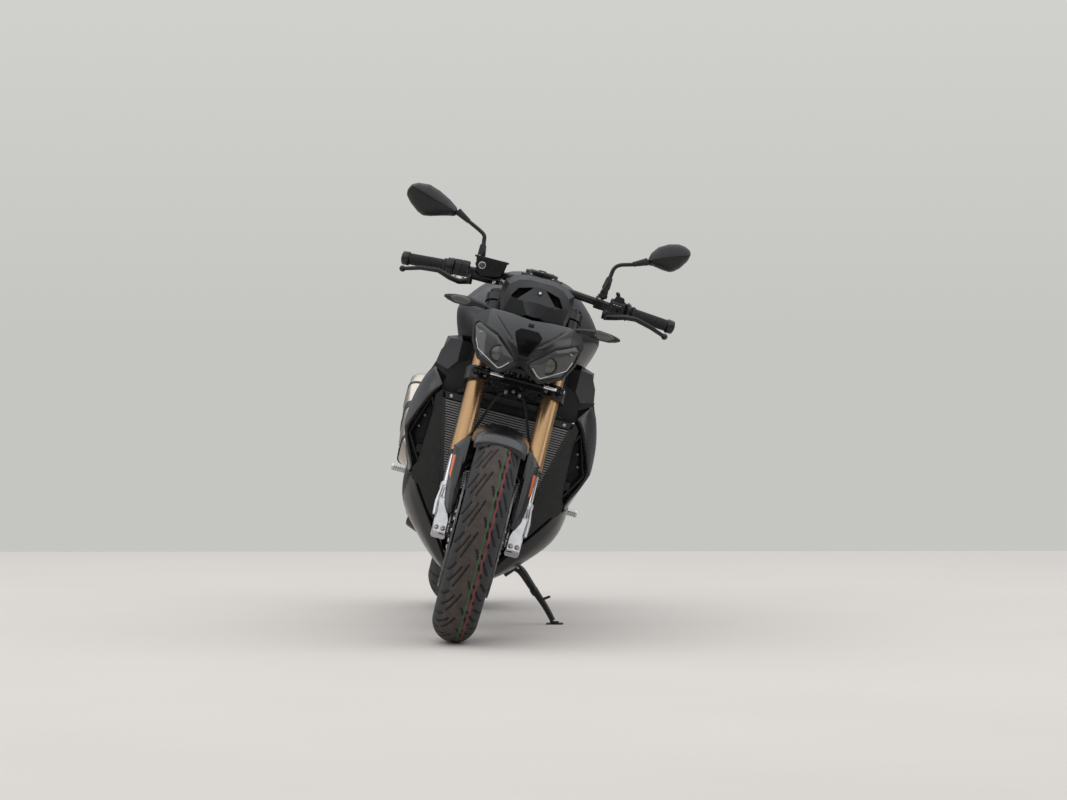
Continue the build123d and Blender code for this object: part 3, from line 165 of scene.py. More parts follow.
shader("lens", (0.05, 0.051, 0.05), 0.07, 0, 0.1, 45, 0.0, 900, Coat_Weight=0.15, Coat_Roughness=0.03)
shader("lightbar", (0.5, 0.52, 0.53), 0.2, 0, 0.05, 60, 0.0, 900)
shader("projector", (0.085, 0.084, 0.068), 0.12, 0.2, 0.2, 90, 0.0, 900, Coat_Weight=0.5)
shader("orange", (0.75, 0.13, 0.015), 0.22, 0, 0.12, 300, 0.3, 1200, Coat_Weight=0.4)
shader("smoke", (0.075, 0.074, 0.073), 0.2, 0, 0.08, 60, 0.0, 900, Coat_Weight=0.3)
shader("fins", (0.3, 0.302, 0.305), 0.5, 0.2, 0.15, 60, 0.1, 900)
shader("seat", (0.016, 0.016, 0.0165), 0.62, 0, 0.15, 30, 0.6, 1100, Sheen_Weight=0.15)
shader("plate", (0.55, 0.55, 0.53), 0.4, 0, 0.03, 12, 0.05, 900)
shader("taillight", (0.28, 0.01, 0.012), 0.12, 0, 0.1, 60, 0.0, 900, Coat_Weight=0.5)
shader("mirror", (0.8, 0.81, 0.82), 0.03, 1.0, 0.01, 20, 0.0, 900)
shader("chain", (0.16, 0.15, 0.13), 0.38, 1.0, 0.2, 120, 0.3, 900)
shader("gloss", (0.003, 0.003, 0.0035), 0.08, 0.0, 0.05, 20, 0.0, 900, Specular_IOR_Level=0.1)
shader("heated", (0.075, 0.066, 0.06), 0.42, 0.9, 0.2, 18, 0.2, 900)
shader("disc", (0.2, 0.2, 0.205), 0.32, 1.0, 0.08, 70, 0.2, 1600)
shader("spring", (0.025, 0.025, 0.028), 0.3, 0.2, 0.1, 40, 0.05, 900, 0.2)

NODE_FINISH = {
    "black":
        "front_rim rear_rim front_calipers triple_clamps handlebar hand_levers steering_damper "
        "frame stand_bracket radiator subframe swingarm rear_caliper passenger_footrests "
        "side_stand",
    "steel":
        "front_brake_discs rear_brake_disc rear_sprocket front_axle rear_axle pivot_bolt "
        "shock_absorber",
    "silver": "fork_bottoms footrests",
    "chrome": "fork_stanchions",
    "gold": "fork_tubes",
    "rubber": "grips brake_hoses",
    "plastic": "switchgear airbox rear_hugger plate_holder mirrors instrument_cowl",
    "engine": "engine cylinders sump",
    "chain": "drive_chain",
    "heated": "exhaust_headers",
    "titanium": "silencer",
    "smoke": "rear_lights front_indicators",
    "tread": "front_tyre rear_tyre",
    "panel": "front_fender headlight side_shrouds belly_pan fuel_tank tail_fairing",
    "panel_grey": "tank_side_panels",
    "seat": "rider_seat passenger_seat",
}
for finish, nodes in NODE_FINISH.items():
    for node in nodes.split():
        NODES[node].data.materials.clear()
        NODES[node].data.materials.append(MATS[finish])


# ---- Mesh building ----
# Which ends of a run of rings are closed.
NEITHER, LAST, BOTH = (False, False), (False, True), (True, True)


class Piece:
    """A mesh piece made in upright millimetres."""

    def __init__(self, *finishes):
        self.bm = bmesh.new()
        self.finishes = list(finishes)
        self.crease = self.bm.edges.layers.float.new("crease_edge")
        self.slot_now = 0

    def use(self, finish):
        if finish not in self.finishes:
            self.finishes.append(finish)
        self.slot_now = self.finishes.index(finish)
        return self

    def face(self, verts):
        try:
            made = self.bm.faces.new(verts)
        except ValueError:
            return None
        made.material_index = self.slot_now
        made.smooth = True
        return made

    def rings(self, rings, closed=True, caps=NEITHER, creases=None, ends=0.0):
        """Joins rings of points with quads; creases maps a place round the ring to a crease along the run."""
        rows = [[self.bm.verts.new(Vector(p)) for p in ring] for ring in rings]
        count = len(rows[0])
        for first, second in zip(rows, rows[1:]):
            for k in range(count if closed else count - 1):
                n = (k + 1) % count
                self.face([first[k], first[n], second[n], second[k]])
        for row, cap in ((rows[0], caps[0]), (rows[-1], caps[1])):
            if cap:
                self.face(row)
        for place, value in (creases or {}).items():
            for first, second in zip(rows, rows[1:]):
                edge = self.bm.edges.get((first[place], second[place]))
                if edge:
                    edge[self.crease] = value
        if ends:
            for row in (rows[0], rows[-1]):
                for k in range(count if closed else count - 1):
                    edge = self.bm.edges.get((row[k], row[(k + 1) % count]))
                    if edge:
                        edge[self.crease] = ends
        return rows

    def prism(self, outline, thickness, place=Vector((0, 0, 0)), u=X, v=Y, w=None):
        """A plate: the outline in (u, v) at place, grown along w."""
        w = Vector(w) if w is not None else Vector(u).cross(Vector(v)).normalized()
        base = [Vector(place) + Vector(u) * a + Vector(v) * b for a, b in outline]
        top = [p + w * thickness for p in base]
        self.rings([base, top], True, BOTH)

    def lathe(self, profile, place, axis, sides=32):
        """Turns a profile of (along, radius) round an axis."""
        axis = Vector(axis).normalized()
        side = axis.orthogonal().normalized()
        other = axis.cross(side)
        rings = []
        for turn in (2 * math.pi * k / sides for k in range(sides)):
            out = side * math.cos(turn) + other * math.sin(turn)
            rings.append([Vector(place) + axis * a + out * r for a, r in profile])
        self.rings(rings + rings[:1], False)

    def bolt(self, place, axis, radius=5.0, height=4.0, sides=20):
        """A button-head socket bolt standing on its place."""
        r, h = radius, height
        self.lathe(
            [
                (0, r), (h * 0.45, r), (h * 0.85, r * 0.8), (h, r * 0.62), (h * 0.97, r * 0.46),
                (h * 0.35, r * 0.44), (h * 0.35, 0.01),
            ],
            place, axis, sides,
        )

    def box(self, low, high):
        (x0, y0, z0), (x1, y1, z1) = low, high
        self.prism([(x0, y0), (x1, y0), (x1, y1), (x0, y1)], z1 - z0, (0, 0, z0))

    def tube(self, points, radius, sides=14, steps=8):
        """A round tube along a smooth line through the points, with one radius or one for each point."""
        points = [Vector(p) for p in points]
        radii = list(radius) if hasattr(radius, "__len__") else [radius] * len(points)
        line, width = [], []
        if steps > 1 and len(points) > 2:
            for k in range(len(points) - 1):
                a, b = points[k], points[k + 1]
                before = points[k - 1] if k else a * 2 - b
                after = points[k + 2] if k + 2 < len(points) else b * 2 - a
                for s in range(steps):
                    t = s / steps
                    line.append(0.5 * (
                        2 * a + (b - before) * t + (2 * before - 5 * a + 4 * b - after) * t * t
                        + (3 * a - before - 3 * b + after) * t ** 3
                    ))
                    width.append(radii[k] + (radii[k + 1] - radii[k]) * t)
            line.append(points[-1])
            width.append(radii[-1])
        else:
            line, width = points, radii
        side = None
        rings = []
        for k, p in enumerate(line):
            way = (line[min(k + 1, len(line) - 1)] - line[max(k - 1, 0)]).normalized()
            side = (way.orthogonal() if side is None else side - way * side.dot(way)).normalized()
            other = way.cross(side)
            rings.append([
                p + (side * math.cos(a) + other * math.sin(a)) * width[k]
                for a in (2 * math.pi * s / sides for s in range(sides))
            ])
        self.rings(rings, True, BOTH)

    def mirror(self):
        """Adds the piece's own reflection in the machine's middle."""
        copy = bmesh.ops.duplicate(self.bm, geom=self.bm.verts[:] + self.bm.edges[:] + self.bm.faces[:])
        verts = [g for g in copy["geom"] if isinstance(g, bmesh.types.BMVert)]
        for vert in verts:
            vert.co.x = -vert.co.x
        bmesh.ops.reverse_faces(
            self.bm, faces=[g for g in copy["geom"] if isinstance(g, bmesh.types.BMFace)],
        )
        return self

    def done(self, name, body, slot, replaces=(), subdivide=0, bevel=0.0, sharp=38, weld=0.0):
        """Makes the object in the row frame and declares its body and what it replaces; slot is not used."""
        bm = self.bm
        if weld:
            bmesh.ops.remove_doubles(bm, verts=bm.verts[:], dist=weld)
        bmesh.ops.recalc_face_normals(bm, faces=bm.faces[:])
        if not subdivide:
            limit = math.radians(sharp)
            for edge in bm.edges:
                if len(edge.link_faces) == 2 and edge.calc_face_angle(0) > limit:
                    edge.smooth = False
        bmesh.ops.transform(bm, matrix=UPRIGHT, verts=bm.verts[:])
        mesh = bpy.data.meshes.new(name)
        bm.to_mesh(mesh)
        bm.free()
        for finish in self.finishes:
            mesh.materials.append(MATS[finish])
        obj = bpy.data.objects.new(name, mesh)
        bpy.context.scene.collection.objects.link(obj)
        if bevel:
            mod = obj.modifiers.new("bevel", "BEVEL")
            mod.width = bevel / 1000
            mod.segments = 2
            mod.limit_method = "ANGLE"
            mod.angle_limit = math.radians(sharp)
            mod.harden_normals = True
        if subdivide:
            mod = obj.modifiers.new("smooth", "SUBSURF")
            mod.levels = mod.render_levels = subdivide
        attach(obj, body)
        if replaces:
            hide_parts(*replaces)
        return obj


# ---- Tyres ----
TREAD, SHOULDER, SIDEWALL, GROOVE_SHADE = range(4)  # the first finishes of a tyre, in their order


def tyre(name, node, body, hub, radius, half, drop, rim_half, marks, pitches):
    """A road tyre: crown and sidewalls on their true section, with slanted sipes pressed into the tread and
    coloured darker as painted shade.
    """
    crown = (half ** 2 + drop ** 2) / (2 * drop)
    shoulder = radius - drop
    toe, bead = 229.5, 219
    sweep = math.asin(half / crown)
    lateral = [crown * math.sin(a) for a in np.linspace(-sweep, sweep, 57)]
    tread = sorted(lateral + [m for mark in marks for m in mark[:2]])
    side_arc = [
        (half, shoulder), (half + 0.6, shoulder - 5), (half + 0.2, shoulder - 10),
        ((half + rim_half) / 2 + 2.4, (shoulder + toe) / 2 - 3), (rim_half + 3, toe + 3),
        (rim_half - 4, toe), (rim_half - 6, bead), (0, bead),
    ]
    profile = [(x, radius - crown + math.sqrt(crown ** 2 - x * x)) for x in tread]
    full = [(-a, r) for a, r in reversed(side_arc[1:])] + profile + side_arc[1:]
    around = 864
    xs = np.array([x for x, r in full])
    angles = np.linspace(0, 2 * math.pi, around, endpoint=False)
    arc = angles * radius
    pitch = 2 * math.pi * radius / pitches
    depth = np.zeros((around, len(full)))
    grooves = [
        [(5, 0.98), (18, 0.6), (34, 0.12)], [(22, 0.86), (36, 0.5), (49, 0.2)],
        [(40, 0.9), (50, 0.66), (57, 0.5)],
    ]
    scale = half / 61
    groove_half, groove_edge, groove_depth = 3.3 * scale ** 0.5, 1.2, 3.6
    in_tread = np.abs(xs) <= half - 1
    plain = np.array([any(low - 1.3 <= x <= high + 1.3 for low, high, finish in marks) for x in xs])
    cut = in_tread & ~plain
    for side in (-1, 1):
        for line in grooves:
            for (xa, sa), (xb, sb) in zip(line, line[1:]):
                late = 0.5 if side > 0 else 0
                a = np.array([side * xa * scale, (sa + late) * pitch])
                span = np.array([side * xb * scale, (sb + late) * pitch]) - a
                for turn in (-1, 0, 1):
                    px = xs[None, :] - a[0]
                    ps = (arc[:, None] % pitch) - a[1] + turn * pitch
                    t = np.clip((px * span[0] + ps * span[1]) / (span @ span), 0, 1)
                    away = np.hypot(px - t * span[0], ps - t * span[1])
                    pressed = np.clip((groove_half - away) / groove_edge, 0, 1)
                    depth = np.maximum(depth, pressed * cut[None, :])
    piece = Piece("tread", "shoulder", "sidewall", "groove_shade", "green", "red")
    verts = []
    for k, angle in enumerate(angles):
        out = Z * math.cos(angle) + Y * math.sin(angle)
        row = []
        for j, (x, r) in enumerate(full):
            tilt = max(-1.0, min(1.0, x / crown)) if in_tread[j] else 0
            press = groove_depth * depth[k, j]
            place = hub + X * (x - press * tilt) + out * (r - press * math.sqrt(1 - tilt * tilt))
            row.append(piece.bm.verts.new(place))
        verts.append(row)
    verts.append(verts[0])
    for k in range(around):
        for j in range(len(full) - 1):
            made = piece.bm.faces.new([verts[k][j], verts[k][j + 1], verts[k + 1][j + 1], verts[k + 1][j]])
            made.smooth = True
            middle = (xs[j] + xs[j + 1]) / 2
            # Faces deep in a sipe take a colour far darker than the tread: painted shade.
            index = TREAD
            if not (in_tread[j] and in_tread[j + 1]):
                index = SIDEWALL
            elif depth[k, j] + depth[k, j + 1] + depth[(k + 1) % around, j] > 1.5:
                index = GROOVE_SHADE
            elif abs(middle) > half * 0.66 or middle > half * 0.56:
                index = SHOULDER
            for low, high, finish in marks:
                if low <= middle <= high:
                    index = piece.finishes.index(finish)
            made.material_index = index
    piece.done(name, body, "tyre", [node], sharp=70)


LINES = [(15.8, 18.4, "green"), (27.6, 30.0, "red")]
tyre(
    "front_tyre_tread", "front_tyre", "front_wheel", FRONT_HUB, 300, half=61, drop=51, rim_half=50,
    marks=LINES, pitches=21,
)
tyre(
    "rear_tyre_tread", "rear_tyre", "rear_wheel", REAR_HUB, 320, half=95, drop=77.4, rim_half=82,
    marks=[], pitches=18,
)


# ---- Outline helpers ----
def rounded(outline, radius, steps=5):
    """The same outline with every corner rounded; radius may be one number or one for each corner."""
    made = []
    count = len(outline)
    for k, corner in enumerate(outline):
        c = Vector(corner).to_2d() if len(corner) > 2 else Vector(corner)
        a, b = Vector(outline[k - 1]), Vector(outline[(k + 1) % count])
        r = radius[k] if hasattr(radius, "__len__") else radius
        if r <= 0:
            made.append(tuple(c))
            continue
        da, db = (a - c).normalized(), (b - c).normalized()
        half = max(0.15, da.angle(db) / 2)
        cut = min(r / math.tan(half), (a - c).length * 0.45, (b - c).length * 0.45)
        pa, pb = c + da * cut, c + db * cut
        for s in range(steps + 1):
            t = s / steps
            made.append(tuple(pa * (1 - t) ** 2 + c * 2 * t * (1 - t) + pb * t * t))
    return made


def twin(half):
    """A symmetric outline from its right half."""
    return half + [(-u, v) for u, v in reversed(half)]


def oblong(half_u, half_v, radius, steps=5):
    """A rounded rectangle round its middle."""
    return rounded(twin([(half_u, -half_v), (half_u, half_v)]), radius, steps)


def inset(outline, amount):
    """A convex outline moved inwards, or outwards where the amount is negative."""
    count = len(outline)
    area = sum(outline[k - 1][0] * outline[k][1] - outline[k][0] * outline[k - 1][1] for k in range(count))
    turn = 1 if area > 0 else -1
    lines = []
    for k in range(count):
        a, b = Vector(outline[k]), Vector(outline[(k + 1) % count])
        way = (b - a).normalized()
        normal = Vector((-way.y, way.x)) * turn
        lines.append((a + normal * amount, way))
    made = []
    for k in range(count):
        (p, d), (q, e) = lines[k - 1], lines[k]
        cross = d.x * e.y - d.y * e.x
        if abs(cross) < 1e-6:
            made.append(tuple(q))
        else:
            t = ((q - p).x * e.y - (q - p).y * e.x) / cross
            made.append(tuple(p + d * t))
    return made


def spun(angle):
    """The direction at an angle from the rear towards the top, in a wheel's plane."""
    return Y * math.cos(angle) + Z * math.sin(angle)


def scaled(outline, scale, centre):
    """The outline made smaller or larger round a centre."""
    return [(centre[0] + (u - centre[0]) * scale, centre[1] + (v - centre[1]) * scale) for u, v in outline]


def cast(centre, angle, outline):
    """Where a ray from the centre leaves a closed outline."""
    way = Vector((math.cos(angle), math.sin(angle)))
    best = None
    for k in range(len(outline)):
        a, b = Vector(outline[k - 1]), Vector(outline[k])
        e = b - a
        cross = way.x * e.y - way.y * e.x
        if abs(cross) < 1e-9:
            continue
        d = a - Vector(centre)
        t = (d.x * e.y - d.y * e.x) / cross
        s = (d.x * way.y - d.y * way.x) / cross
        if t > 0 and -1e-6 <= s <= 1 + 1e-6 and (best is None or t < best):
            best = t
    return best


def facets(piece, corners, faces):
    """Flat faces between named corners; each face is a string of their names."""
    verts = {name: piece.bm.verts.new(Vector(place)) for name, place in corners.items()}
    for face in faces:
        piece.face([verts[name] for name in face.split()])


# ---- Headlight mask ----
KITE_CORNERS = [8, 8, 14, 9, 9, 12, 12]
KITE = [(151, 858), (139, 870), (83, 845), (16, 787), (56, 748), (117, 774), (141, 815)]
LENS_CENTRE = (88, 800)
MASK_HALF = [
    (0, 906), (60, 912), (112, 912), (143, 898), (157, 872), (147, 813), (121, 768), (57, 741),
    (12, 770), (0, 777),
]


def mask_y(x, z):
    """Where the mask's face lies: it curves back to the sides and above the brow."""
    return -690 + 0.0036 * x * x + 0.0078 * max(0, z - 830) ** 2


def groove_side(x, z):
    """Distance to the brow's crease: it runs from the mask's top edge to beside the shield."""
    a, b = Vector((97, 896)), Vector((38, 838))
    way = (b - a).normalized()
    return (Vector((x, z)) - a).dot(Vector((-way.y, way.x)))


def ease(t):
    """A smooth step from 0 to 1."""
    t = max(0.0, min(1.0, t))
    return t * t * (3 - 2 * t)


def mask_relief(x, z, out):
    """How far the surface stands forward: the lens frame's lip, the brow and the middle panel."""
    lip = 1.6 * ease(1 - abs(out - 4.5) / 6.0)
    side = groove_side(x, z)
    middle = -2.2 * ease((-side + 2) / 4) * ease((z - 822) / 20) * ease((118 - x) / 20)
    fold = -2.4 * ease(1 - abs(side) / 3.2) * ease((z - 836) / 10) * ease((104 - x) / 10)
    return lip + middle + fold


PANEL, BLACK, DARK = range(3)
mask = Piece("panel", "black", "matte_black_and_shade")
opening = rounded(KITE, KITE_CORNERS)
angles = sorted(
    {round(math.atan2(p[1] - LENS_CENTRE[1], p[0] - LENS_CENTRE[0]), 4) for p in opening + MASK_HALF}
    | {round(-math.pi + 2 * math.pi * k / 150, 4) for k in range(150)}
)
kept = [angles[0]]
for angle in angles[1:]:
    if angle - kept[-1] > 0.012:
        kept.append(angle)
LIP_STEPS = [0, 1.2, 2.6, 4.5, 6.5, 8.2, 9.8]
OUTER_STEPS = 26
grid = []
for angle in kept:
    inner = cast(LENS_CENTRE, angle, opening)
    outer = cast(LENS_CENTRE, angle, MASK_HALF)
    room = outer - inner
    squeeze = min(1.0, room / 11.0)
    places = [s * squeeze for s in LIP_STEPS]
    places += [places[-1] + (room - places[-1]) * k / OUTER_STEPS for k in range(1, OUTER_STEPS + 1)]
    row = []
    for place in places:
        reach_out = inner + place
        x = LENS_CENTRE[0] + math.cos(angle) * reach_out
        z = LENS_CENTRE[1] + math.sin(angle) * reach_out
        row.append(Vector((x, mask_y(x, z) - mask_relief(x, z, place / squeeze), z)))
    grid.append(row)
grid.append(grid[0])
rows = mask.rings([[row[0] + Y * 14] + row for row in grid], closed=False)
for face in mask.bm.faces:
    middle = face.calc_center_median()
    if middle.y > mask_y(middle.x, middle.z) + 2.5:
        face.material_index = DARK
    elif middle.x > 118 or middle.z < 800:
        face.material_index = BLACK
for row in rows[:-1]:
    for j in range(1, 5):
        for face in row[j].link_faces:
            if row[j + 1] in face.verts and face.material_index == PANEL:
                face.material_index = BLACK
rim = [row[-1] for row in rows]
for a, b in zip(rim, rim[1:]):
    if max(abs(a.co.x), abs(b.co.x)) < 0.5 and min(a.co.z, b.co.z) > 770:
        continue
    last = (a, b)
    for grow, back in ((0.6, 2.5), (-1.5, 9), (-7, 40)):
        made = []
        for vert in (a, b):
            out = Vector((vert.co.x - 60, 0, vert.co.z - 830)).normalized()
            place = vert.co + out * grow + Y * back
            if abs(vert.co.x) < 0.5:
                place.x = 0
            made.append(mask.bm.verts.new(place))
        mask.face([last[0], last[1], made[1], made[0]])
        last = made
mask.mirror().done("headlight_mask", "steering", "black_satin", ["headlight"], weld=0.05, sharp=50)

lens = Piece("lens")
frame_line = rounded(inset(KITE, 0.2), KITE_CORNERS)
rings = []
for shrink, dome in ((1.0, 3.5), (0.985, 2.3), (0.9, 1.1), (0.72, 0.1), (0.45, -0.7), (0.15, -1.1)):
    rings.append([(x, mask_y(x, z) + dome, z) for x, z in scaled(frame_line, shrink, LENS_CENTRE)])
lens.rings(rings, True, LAST)
lens.mirror().done("headlight_lenses", "steering", "light", sharp=60)

LIGHT_BAR = [(137, 822), (126, 795), (94, 776), (60, 757), (50, 762), (33, 779)]
lamp_parts = Piece("lightbar")
for (xa, za), (xb, zb) in zip(LIGHT_BAR, LIGHT_BAR[1:]):
    a = Vector((xa, mask_y(xa, za) - 0.2, za))
    b = Vector((xb, mask_y(xb, zb) - 0.2, zb))
    across = (b - a).cross(Y).normalized()
    section = [across * 1.5, across * 1.1 - Y * 1.6, across * -1.1 - Y * 1.6, across * -1.5]
    lamp_parts.use("lightbar").rings([[p + edge for edge in section] for p in (a, b)], False)
tick = Vector((128, mask_y(128, 842) - 0.8, 842))
lamp_parts.use("lightbar").prism(twin([(6, -1.3), (5, 1.3)]), 1.2, tick, Vector((0.9, 0, -0.43)), Z, -Y)
lamp_parts.mirror()
look = Vector((0, -1, 0.05))
for x, z in ((-68, 796), (73, 797)):
    place = (x, mask_y(x, z) + 1.5, z)
    lamp_parts.use("black").lathe([(-2, 26), (1.6, 25), (2.6, 23), (2.4, 20.5), (1.2, 20)], place, look, 40)
    lamp_parts.use("projector").lathe(
        [(1.2, 20), (2.4, 16), (4.0, 10), (4.9, 4), (5.1, 0.01)], place, look, 40,
    )
lamp_parts.done("headlight_optics", "steering", "light")

shield = Piece("gloss")
SHIELD = [(-24, 878), (25, 878), (38, 866), (36, 856), (13, 807), (-12, 807), (-35, 856), (-37, 866)]
shield_rings = []
for s, d in ((1.03, 9), (1.03, -2.4), (0.99, -3.8), (0.93, -2.8), (0.7, -2.6), (0.45, -2.6), (0.2, -2.6)):
    shield_rings.append([(x, mask_y(x, z) + d, z) for x, z in scaled(rounded(SHIELD, 5), s, (1, 845))])
shield.rings(shield_rings, True, LAST)
shield.use("matte_black_and_shade").prism(twin([(7, -2.5), (8.5, 3.5)]), 4, (1, mask_y(0, 893) - 0.5, 893), X, Z, -Y)
shield.done("mask_centre_shield", "steering", "black_plastic", bevel=0.6, sharp=30)

mask_back = Piece("plastic")
back_line = rounded(MASK_HALF[1:-1] + [(-x, z) for x, z in reversed(MASK_HALF[1:-1])], 6, 2)
back_rings = []
for scale, y in ((0.9, -640), (0.93, -600), (0.8, -574), (0.55, -566)):
    ring = scaled(back_line, scale, (0, 838))
    back_rings.append([(x, max(y, mask_y(x, z) + 16), z) for x, z in ring])
mask_back.rings(back_rings, True, LAST)
for x in (-62, 62):
    mask_back.prism(
        [(-572, 790), (-572, 850), (-545, 830), (-548, 772), (-560, 770)], 5, (x - 2.5, 0, 0), Y, Z, X,
    )
mask_back.box((-50, -668, 757), (50, -600, 768))
for x in (-36, 0, 36):
    mask_back.box((x - 3, -672, 745), (x + 3, -640, 760))
mask_back.done("headlight_housing", "steering", "black_plastic", bevel=2)

# ---- Instrument cowl ----
cowl = Piece("plastic")
back = [
    (0, 1028, -490), (40, 1028, -491), (70, 1021, -494), (99, 1001, -500), (104, 955, -512),
    (93, 908, -528),
]
front = [
    (0, 1015, -548), (36, 1015, -550), (62, 1008, -553), (86, 990, -560), (92, 956, -568),
    (84, 914, -578),
]
lip = [(0, 996, -572), (22, 995, -573), (58, 985, -576), (73, 962, -580), (74, 948, -584), (62, 924, -590)]
well = [(0, 990, -560), (20, 989, -560), (52, 979, -563), (66, 959, -567), (66, 945, -570), (55, 925, -576)]
strips = [[(x, y, z) for x, z, y in line] for line in (back, front, lip, well)]
cowl.use("plastic").rings(strips[:3], False, creases={0: 1})
cowl.rings(strips[2:], False)
cowl.rings([strips[3], [(0, -530, 940)] * 6], False)
inner_back = [(x * 0.9, y + 6, 960 + (z - 960) * 0.9) for x, z, y in back]
cowl.use("plastic").rings([strips[0], inner_back], False)
cowl.mirror().done(
    "instrument_cowl_shell", "steering", "black_plastic", ["instrument_cowl"], bevel=1.6, weld=0.05,
    sharp=24,
)

nose = Piece("plastic")
NOSE = {
    "t0": (0, -576, 1001), "t1": (14, -576, 1000), "t2": (21, -580, 991), "s1": (51, -594, 960),
    "s2": (53, -596, 951), "m0": (0, -612, 957), "m1": (40, -607, 954), "b1": (19, -617, 917),
    "b0": (0, -617, 915), "c0": (0, -588, 984), "w1": (73, -590, 957), "w2": (91, -586, 908),
    "w3": (30, -606, 911), "k1": (60, -575, 902), "k0": (0, -590, 903), "kb": (91, -560, 903),
    "tb": (14, -545, 1000), "t0b": (0, -545, 1001), "sb": (51, -560, 957), "wb": (74, -560, 957),
}
facets(nose, NOSE, [
    "t0 t1 t2 c0", "c0 t2 s1 m1 m0", "s1 s2 m1", "t0b tb t1 t0", "tb sb s1 t2 t1", "sb s1 s2 w1 wb",
    "s2 w1 w2 w3 b1 m1", "w2 w3 k1 kb", "w3 b1 b0 k0 k1", "wb w1 w2 kb",
])
facets(nose.use("panel"), NOSE, ["m0 m1 b1 b0"])
nose.mirror()
nose.use("black").lathe([(0, 8), (2.5, 7), (3.2, 5.2), (1.5, 4.6)], (3, -590, 984), (0, -0.8, 0.35), 28)
nose.use("silver").lathe([(1.0, 4.6), (2.4, 4), (3.2, 2), (3.4, 0.01)], (3, -590, 984), (0, -0.8, 0.35), 28)
nose.done("instrument_cowl_nose", "steering", "black_plastic", bevel=1.4, weld=0.05, sharp=14)

screen_up, screen_out = Vector((0, -0.34, 0.94)), Vector((0, 0.94, 0.34))
display = Piece("black")
display.use("plastic").prism(
    rounded(twin([(78, -40), (84, 28)]), 8), 22, (0, -478, 968), X, screen_up, screen_out,
)
display.use("lens").prism(
    rounded(twin([(72, -35), (77, 23)]), 5), 1.2, (0, -456, 976), X, screen_up, screen_out,
)
for x in (-39, 39):
    display.use("black").prism(
        [(-500, 935), (-500, 972), (-458, 968), (-455, 955)], 6, (x - 3, 0, 0), Y, Z, X,
    )
display.done("instrument_display", "steering", "black_plastic", bevel=1.5)

# ---- Front mudguard ----
def mudguard(name, body, slot, node, finish, hub, section, radius, sweep, steps, inner, shape, creases):
    """A mudguard round a wheel from the half section (x, drop); shape(k) is a step's width, drop and dip."""
    line = section + [(-x, drop) for x, drop in reversed(section[:-1])]
    rings = []
    for k in range(steps + 1):
        angle = math.radians(sweep[0] + (sweep[1] - sweep[0]) * k / steps)
        out = Y * math.sin(angle) + Z * math.cos(angle)
        wide, deep, dip = shape(k)
        outer_line, inner_line = [
            [
                hub + X * (x * wide * narrow) + out * (low - dip + drop * (deep if drop < 0 else 1))
                for x, drop in line
            ]
            for narrow, low in ((1, radius), (inner, radius - 3))
        ]
        rings.append(outer_line + inner_line[::-1])
    guard = Piece(finish)
    guard.rings(rings, True, BOTH, creases=creases, ends=0.9)
    guard.done(name, body, slot, [node], subdivide=1)


mudguard(
    "front_mudguard", "steering", "black_satin", "front_fender", "panel", FRONT_HUB,
    [(80, -58), (80, -47), (77, -34), (67, -21), (52, -11), (35, -4), (17, -0.5), (0, 0)], 310, (-31, 52),
    30, 0.962,
    lambda k: (0.9 + 0.1 * ease(k / 12), 0.52 + 0.48 * ease(k / 9), 5 * (1 - ease(k / 3))),
    {4: 0.7, 10: 0.7, 0: 1, 14: 1, 15: 1, 29: 1},
)


def on_guard(x, up, depth):
    """A point on the guard's folded face."""
    fold = 12 * ease((x - 96) / 24) + 10 * ease((78 - x) / 18)
    return fork(x, -37 + fold + depth, up)


guards = Piece("panel")
outline = rounded(
    [
        (62, 268), (84, 266), (101, 250), (121, 232), (120, 196), (116, 112), (110, 56), (96, 30),
        (82, 26), (78, 60), (78, 168), (65, 186),
    ],
    5, 3,
)
rings = []
for narrow, low, depth in ((1, 1, 4), (1, 1, 0), (0.93, 0.975, -3), (0.35, 0.8, -6)):
    rings.append([on_guard(93 + (x - 93) * narrow, 180 + (up - 180) * low, depth) for x, up in outline])
guards.use("panel").rings(rings, True, BOTH)
wing = [
    [(60, 272, -38), (74, 282, -26), (66, 298, -2)], [(84, 266, -36), (92, 272, -22), (88, 284, 2)],
    [(104, 250, -30), (110, 254, -18), (108, 262, 0)], [(121, 232, -24), (124, 234, -16), (122, 238, -4)],
]
front_face = [[fork(x, b, u) for x, u, b in line] for line in wing]
back_face = [[p + FORK_Z * -4 + FORK_Y * 2 for p in line] for line in front_face]
guards.rings([line + list(reversed(under)) for line, under in zip(front_face, back_face)], True, BOTH)
strip = [(5.5, 4), (5.5, -2), (1, -6.5), (-3, -6.5), (-3, 4)]
ends = (fork(112, -29, 200), fork(109, -27, 124))
guards.use("orange").rings([[p + X * a + FORK_Y * b for a, b in strip] for p in ends], True, BOTH)
guards.mirror().done("fork_guards", "steering", "black_satin", bevel=1.0, sharp=32)

